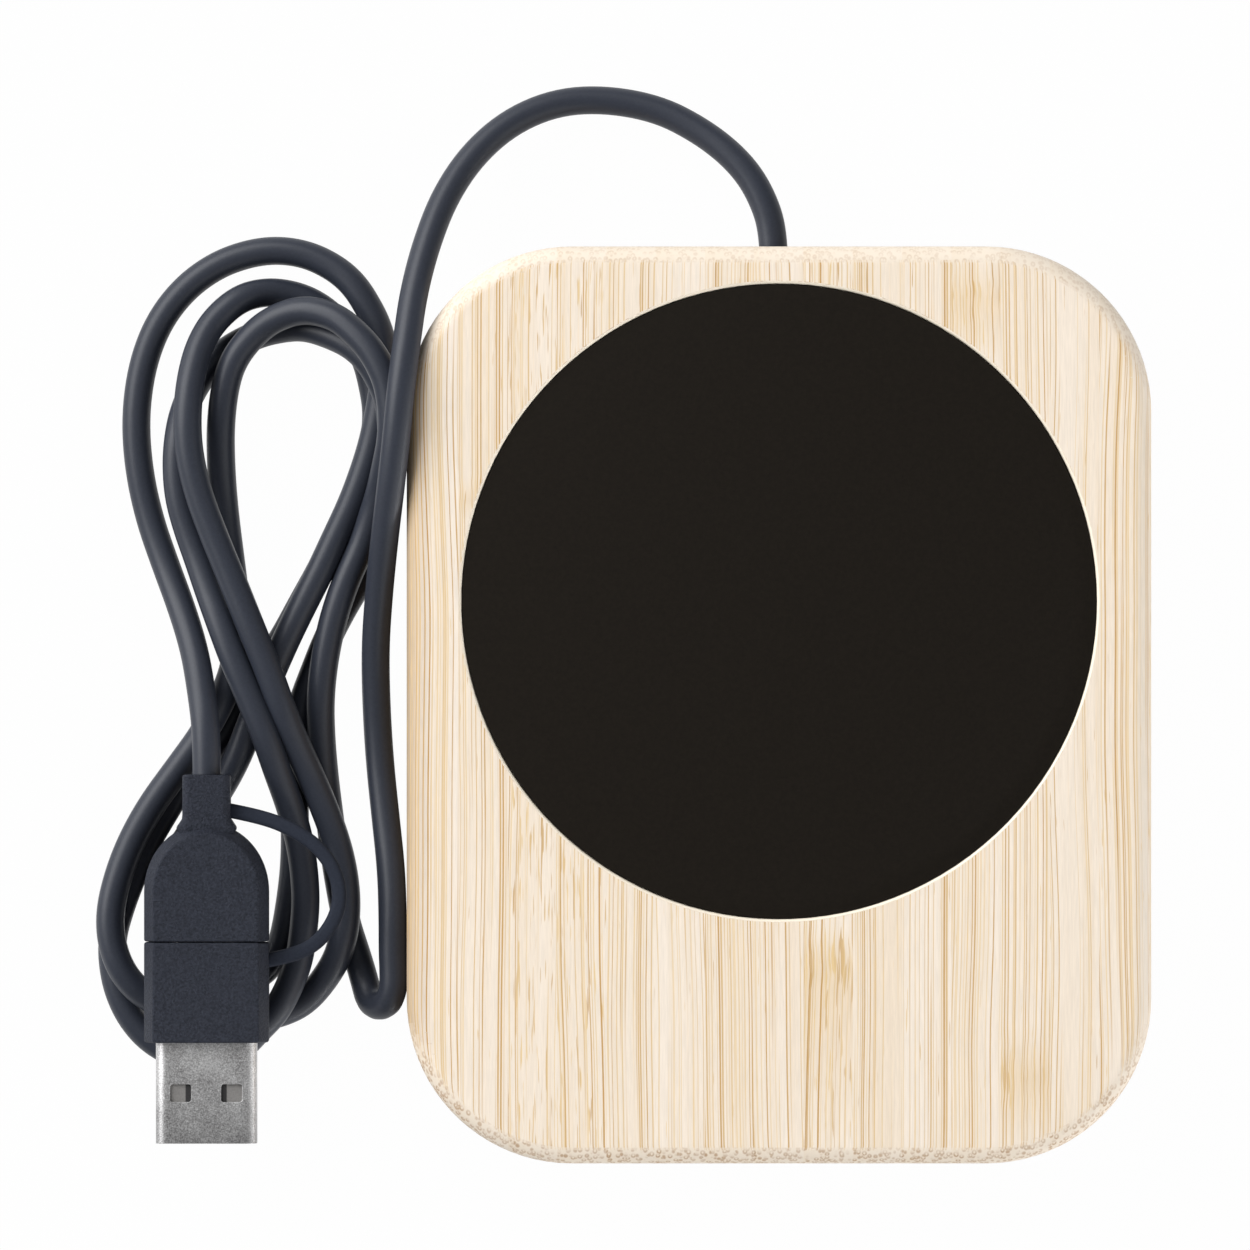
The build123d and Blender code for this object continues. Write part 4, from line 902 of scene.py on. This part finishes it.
class WARMER_OT_cord(bpy.types.Operator):
    """Lays the cord from the rear wall through its figure-eight turns to the plug"""

    bl_idname = "warmer.cord"
    bl_label = "Cord"

    def execute(self, context):
        diameter = context.scene.warmer_sizes.cord_diameter
        route = FIRST_RUN + FOLD + TURN_ONE + TURN_TWO + TURN_THREE + TURN_FOUR + LAST_RUN
        cord = new_strand("cord", route, diameter, steps=6)
        cord.data.materials.append(MATERIALS["cord_charcoal"])
        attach(cord, "warmer")
        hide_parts("cord_tube", "cord_hank", "cord_plug_end")
        return {"FINISHED"}


def sloped_slab(sizes, low, high, back, front, shoulder):
    """A slab whose two faces slope down to its sides. It is made too long by a spare length, which
    is cut off square at the front, and at the back too if that has no shoulders."""
    spare = 3 * sizes.grip_slope
    top_y = back if shoulder else back + spare
    middle = (low + high) / 2
    bm = bmesh.new()
    bmesh.ops.create_grid(
        bm, x_segments=1, y_segments=1, size=0.5,
        matrix=Matrix.Translation((middle.x, (top_y + front - spare) / 2, 0.0))
        @ Matrix.Diagonal((high.x - low.x, top_y - front + spare, 1.0, 1.0)))
    if shoulder:
        round_corners(bm, [v for v in bm.verts if v.co.y > front], shoulder, 20)
        arc = [v for v in bm.verts if v.co.y > front]
        bmesh.ops.scale(bm, vec=(1.0, SHOULDER_STRETCH, 1.0), verts=arc,
                        space=Matrix.Translation((0, -top_y, 0)))
    half = (high.z - low.z) / 2
    raised = bmesh.ops.extrude_face_region(bm, geom=bm.faces[:])
    upper = [v for v in raised["geom"] if isinstance(v, bmesh.types.BMVert)]
    lid = [f for f in raised["geom"] if isinstance(f, bmesh.types.BMFace)]
    bmesh.ops.translate(bm, verts=upper, vec=(0, 0, half - sizes.grip_drop))
    bmesh.ops.inset_region(bm, faces=lid, thickness=sizes.grip_slope, use_even_offset=True)
    bmesh.ops.translate(bm, verts=lid[0].verts[:], vec=(0, 0, sizes.grip_drop))
    floor = [f for f in bm.faces if max(abs(v.co.z) for v in f.verts) < SAME]
    bmesh.ops.delete(bm, geom=floor, context="FACES_ONLY")
    bmesh.ops.mirror(bm, geom=bm.verts[:] + bm.edges[:] + bm.faces[:], matrix=Matrix.Identity(4),
                     merge_dist=MERGE, axis="Z")
    bmesh.ops.translate(bm, verts=bm.verts[:], vec=(0, 0, middle.z))
    for place, way in [(front, -1)] if shoulder else [(front, -1), (back, 1)]:
        cut = slice_mesh(bm, (0, place, 0), (0, way, 0), clear_outer=True)
        rim = [e for e in cut["geom_cut"] if isinstance(e, bmesh.types.BMEdge)]
        bmesh.ops.contextual_create(bm, geom=rim)
    bmesh.ops.recalc_face_normals(bm, faces=bm.faces)
    return bm


def flared_neck(sizes, middle, back, top):
    """The square neck, which spreads a little where it meets the grip's shoulders."""
    half_x = sizes.neck_width / 2
    half_z = sizes.neck_thickness / 2
    neck = box_mesh(Vector((middle.x - half_x, back - NECK_ROOT * MM, middle.z - half_z)),
                    Vector((middle.x + half_x, top, middle.z + half_z)))
    round_edges(neck, edges_along_y(neck), sizes.neck_corner, 5)
    for height, spread in NECK_FLARE:
        level = back + height * MM
        slice_mesh(neck, (0, level, 0), (0, 1, 0))
        ring = [v for v in neck.verts if abs(v.co.y - level) < SAME]
        bmesh.ops.scale(neck, vec=(spread, 1.0, 1.0), verts=ring,
                        space=Matrix.Translation((-middle.x, 0, 0)))
    return neck


class WARMER_OT_grip(bpy.types.Operator):
    """Builds the moulded plug grip: a slab with round shoulders, sloped faces and a square neck"""

    bl_idname = "warmer.grip"
    bl_label = "Plug grip"

    def execute(self, context):
        sizes = context.scene.warmer_sizes
        low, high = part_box("plug_overmold")
        back = GRIP_BACK * MM
        bm = sloped_slab(sizes, low, high, back, low.y, sizes.grip_shoulder)
        neck = flared_neck(sizes, (low + high) / 2, back, high.y)
        neck_mesh = bpy.data.meshes.new("neck")
        neck.to_mesh(neck_mesh)
        neck.free()
        bm.from_mesh(neck_mesh)
        bpy.data.meshes.remove(neck_mesh)
        piece = new_piece("plug_grip", bm, "plug_charcoal", "warmer", "plug_overmold")
        soften_edges(piece, sizes.grip_edge)
        return {"FINISHED"}


class WARMER_OT_adapter(bpy.types.Operator):
    """Builds the adapter housing under the seam, with the same slopes as the grip"""

    bl_idname = "warmer.adapter"
    bl_label = "Adapter housing"

    def execute(self, context):
        sizes = context.scene.warmer_sizes
        low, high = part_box("adapter_housing")
        bm = sloped_slab(sizes, low, high, high.y, low.y, 0.0)
        piece = new_piece("adapter_body", bm, "plug_charcoal", "usb_a_adapter", "adapter_housing")
        soften_edges(piece, sizes.grip_edge)
        return {"FINISHED"}


def cut_windows(bm, sizes, middle, window_y):
    """Cuts the two windows through each flat face of the shell's sheet."""
    half_x = sizes.window_width / 2
    half_y = sizes.window_length / 2
    for window_x in (middle.x - sizes.window_offset, middle.x + sizes.window_offset):
        for side in (-half_x, half_x):
            slice_mesh(bm, (window_x + side, 0, 0), (1, 0, 0))
    for side in (-half_y, half_y):
        slice_mesh(bm, (0, window_y + side, 0), (0, 1, 0))
    panes = []
    for face in bm.faces:
        at = face.calc_center_median()
        off_x = abs(abs(at.x - middle.x) - sizes.window_offset)
        if abs(face.normal.z) > ALONG and off_x < half_x and abs(at.y - window_y) < half_y:
            panes.append(face)
    corners = list({v for f in panes for v in f.verts})
    bmesh.ops.delete(bm, geom=panes, context="FACES")
    round_corners(bm, [v for v in corners if v.is_valid], sizes.window_corner, 3)


def window_rims(bm, sizes, middle, window_y, half_height):
    """The edges at which the outer skin of the sheet turns into a window."""
    reach_x = sizes.window_offset + sizes.window_width / 2 + MERGE
    reach_y = sizes.window_length / 2 + MERGE
    return [e for e in bm.edges
            if all(abs(abs(v.co.z - middle.z) - half_height) < MERGE
                   and abs(v.co.y - window_y) < reach_y
                   and abs(v.co.x - middle.x) < reach_x for v in e.verts)
            and any(abs(f.normal.z) < STANDING for f in e.link_faces)]


class WARMER_OT_shell(bpy.types.Operator):
    """Folds the USB-A shell from thin sheet, with its two windows on each face"""

    bl_idname = "warmer.shell"
    bl_label = "USB-A shell"

    def execute(self, context):
        sizes = context.scene.warmer_sizes
        low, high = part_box("usb_a_shell")
        middle = (low + high) / 2
        window_y = low.y + sizes.window_setback
        bm = box_mesh(low, high)
        round_edges(bm, edges_along_y(bm), sizes.shell_corner, 5)
        ends = [f for f in bm.faces if abs(f.normal.y) > ALONG]
        bmesh.ops.delete(bm, geom=ends, context="FACES")
        cut_windows(bm, sizes, middle, window_y)
        bmesh.ops.recalc_face_normals(bm, faces=bm.faces)
        bmesh.ops.solidify(bm, geom=bm.faces[:], thickness=sizes.shell_wall)
        rims = window_rims(bm, sizes, middle, window_y, (high.z - low.z) / 2)
        round_edges(bm, rims, sizes.window_edge, 4)
        piece = new_piece("usb_a_sleeve", bm, "nickel", "usb_a_adapter", "usb_a_shell", 40.0)
        soften_edges(piece, sizes.shell_edge, 40.0)
        return {"FINISHED"}


class WARMER_OT_strap(bpy.types.Operator):
    """Sweeps the flat tether from the neck to the adapter"""

    bl_idname = "warmer.strap"
    bl_label = "Tether strap"

    def execute(self, context):
        sizes = context.scene.warmer_sizes
        route = [(x, y, STRAP_OVER_FLOOR) for x, y in STRAP_ROUTE]
        strand = new_strand("tether", route, sizes.strap_width, steps=12)
        bpy.context.view_layer.update()
        mesh = bpy.data.meshes.new_from_object(strand)
        bpy.data.objects.remove(strand)
        bm = bmesh.new()
        bm.from_mesh(mesh)
        bpy.data.meshes.remove(mesh)
        # The moulding is flat on top and underneath.
        under = STRAP_OVER_FLOOR * MM - sizes.strap_height / 2
        for vert in bm.verts:
            vert.co.z = min(max(vert.co.z, under), under + sizes.strap_height)
        piece = new_piece("tether", bm, "strap_charcoal", None, "tether_strap", sharp=60.0)
        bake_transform(piece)
        return {"FINISHED"}


class WARMER_OT_underside(bpy.types.Operator):
    """Builds the bottom cover, its feet and screws, and the grommet of the rear wall"""

    bl_idname = "warmer.underside"
    bl_label = "Underside"

    def execute(self, context):
        smooth_copy("floor_cover", "bottom_cover", "cover_black", "warmer")
        smooth_copy("feet", "rubber_feet", "foot_rubber", "warmer")
        smooth_copy("floor_screws", "cover_screws", "screw_steel", "warmer")
        smooth_copy("grommet", "cord_grommet", "grommet_black", "warmer")
        return {"FINISHED"}


# ---------------------------------------------------------------------------- stage

LEFT_SOFTBOX = (-1.15, 0.85, 0.85)  # places of the lamps, in metres
RIGHT_SOFTBOX = (1.0, -0.9, 1.0)
LOW_STRIP = (1.1, -0.9, 0.16)  # it only reaches the sides that face it
SOFTBOX_SIZE = (2.2, 1.2)
STRIP_SIZE = (2.0, 0.2)
FLOOR_REACH = 6.0  # of the floor from its middle, in metres
FLOOR_GLOW = 0.985  # share of plain white in what the camera sees of the floor
WHITE = (1, 1, 1, 1)
VIEW_MIDDLE = (-18.3, 9.5, 0)  # what the camera hangs over, in mm
VIEW_LEVEL = 13  # height at which the view's width is measured, in mm
SENSOR_WIDTH = 36.0  # of the camera, in mm


def floor_material():
    """Pale studio paper: it lights the object as grey paper does, while the camera and reflections
    see it almost white."""
    material, tree, shader = start_material("Pale studio floor", **{
        "Base Color": linear("#B4B4B4"), "Roughness": 0.9, "Specular IOR Level": 0.0})
    path = add(tree, "LightPath").outputs
    seen = add(tree, "Math", {0: path["Is Camera Ray"], 1: path["Is Glossy Ray"]},
               operation="ADD")
    seen = add(tree, "Math", {0: seen, 1: path["Is Transmission Ray"]}, operation="ADD",
               use_clamp=True)
    share = add(tree, "Math", {0: seen, 1: FLOOR_GLOW}, operation="MULTIPLY")
    glow = add(tree, "Emission", {"Color": WHITE, "Strength": 1.0})
    blend = add(tree, "MixShader", {"Fac": share, 1: shader, 2: glow})
    output = next(n for n in tree.nodes if n.type == "OUTPUT_MATERIAL")
    feed(output, {"Surface": blend})
    return material


class WARMER_OT_stage(bpy.types.Operator):
    """Sets the pale floor, the soft studio light and the camera"""

    bl_idname = "warmer.stage"
    bl_label = "Stage"

    def execute(self, context):
        scene = context.scene
        settings = scene.warmer_stage
        scene.view_settings.view_transform = "Standard"
        bm = bmesh.new()
        bmesh.ops.create_grid(bm, x_segments=1, y_segments=1, size=FLOOR_REACH)
        mesh = bpy.data.meshes.new("floor")
        bm.to_mesh(mesh)
        bm.free()
        floor = bpy.data.objects.new("floor", mesh)
        scene.collection.objects.link(floor)
        mesh.materials.append(floor_material())

        world = bpy.data.worlds.new("Even studio light")
        scene.world = world
        world.use_nodes = True
        world.node_tree.nodes.clear()
        sky = add(world.node_tree, "Background", {"Color": WHITE, "Strength": settings.ambient})
        add(world.node_tree, "OutputWorld", {"Surface": sky})

        middle = Vector(VIEW_MIDDLE) * MM
        for name, place, size, power in (
                ("left_softbox", LEFT_SOFTBOX, SOFTBOX_SIZE, settings.left_power),
                ("right_softbox", RIGHT_SOFTBOX, SOFTBOX_SIZE, settings.right_power),
                ("low_strip", LOW_STRIP, STRIP_SIZE, settings.strip_power)):
            lamp = bpy.data.lights.new(name, "AREA")
            lamp.shape = "RECTANGLE"
            lamp.size, lamp.size_y = size
            lamp.energy = power
            box = bpy.data.objects.new(name, lamp)
            box.location = place
            box.rotation_euler = (middle - Vector(place)).to_track_quat("-Z", "Y").to_euler()
            scene.collection.objects.link(box)

        camera = bpy.data.cameras.new("camera")
        camera.sensor_width = SENSOR_WIDTH
        distance = settings.camera_height - VIEW_LEVEL * MM
        camera.lens = camera.sensor_width * distance / settings.view_width
        camera.clip_start = 0.1
        hung = bpy.data.objects.new("camera", camera)
        hung.location = (middle.x, middle.y, settings.camera_height)
        scene.collection.objects.link(hung)
        scene.camera = hung
        return {"FINISHED"}


class WARMER_PT_panel(bpy.types.Panel):
    """Lists the parts of the mug warmer"""

    bl_idname = "WARMER_PT_panel"
    bl_label = "Mug warmer"
    bl_space_type = "VIEW_3D"
    bl_region_type = "UI"
    bl_category = "Mug warmer"

    def draw(self, context):
        layout = self.layout
        for operator in OPERATORS:
            layout.operator(operator.bl_idname)
        for group in (context.scene.warmer_sizes, context.scene.warmer_colours,
                      context.scene.warmer_stage):
            column = layout.column()
            for name in group.__annotations__:
                column.prop(group, name)


OPERATORS = [WARMER_OT_stage, WARMER_OT_finishes, WARMER_OT_block, WARMER_OT_plate,
             WARMER_OT_grip, WARMER_OT_adapter, WARMER_OT_shell, WARMER_OT_cord,
             WARMER_OT_strap, WARMER_OT_underside]
CLASSES = [WarmerSizes, WarmerColours, StageSettings, *OPERATORS, WARMER_PT_panel]


def register():
    for entry in CLASSES:
        bpy.utils.register_class(entry)
    bpy.types.Scene.warmer_sizes = PointerProperty(type=WarmerSizes)
    bpy.types.Scene.warmer_colours = PointerProperty(type=WarmerColours)
    bpy.types.Scene.warmer_stage = PointerProperty(type=StageSettings)


def unregister():
    del bpy.types.Scene.warmer_stage
    del bpy.types.Scene.warmer_colours
    del bpy.types.Scene.warmer_sizes
    for entry in reversed(CLASSES):
        bpy.utils.unregister_class(entry)


def main():
    register()
    bpy.ops.warmer.stage()
    bpy.ops.warmer.finishes()
    bpy.ops.warmer.block()
    bpy.ops.warmer.plate()
    bpy.ops.warmer.grip()
    bpy.ops.warmer.adapter()
    bpy.ops.warmer.shell()
    bpy.ops.warmer.cord()
    bpy.ops.warmer.strap()
    bpy.ops.warmer.underside()


if __name__ == "__main__":
    main()
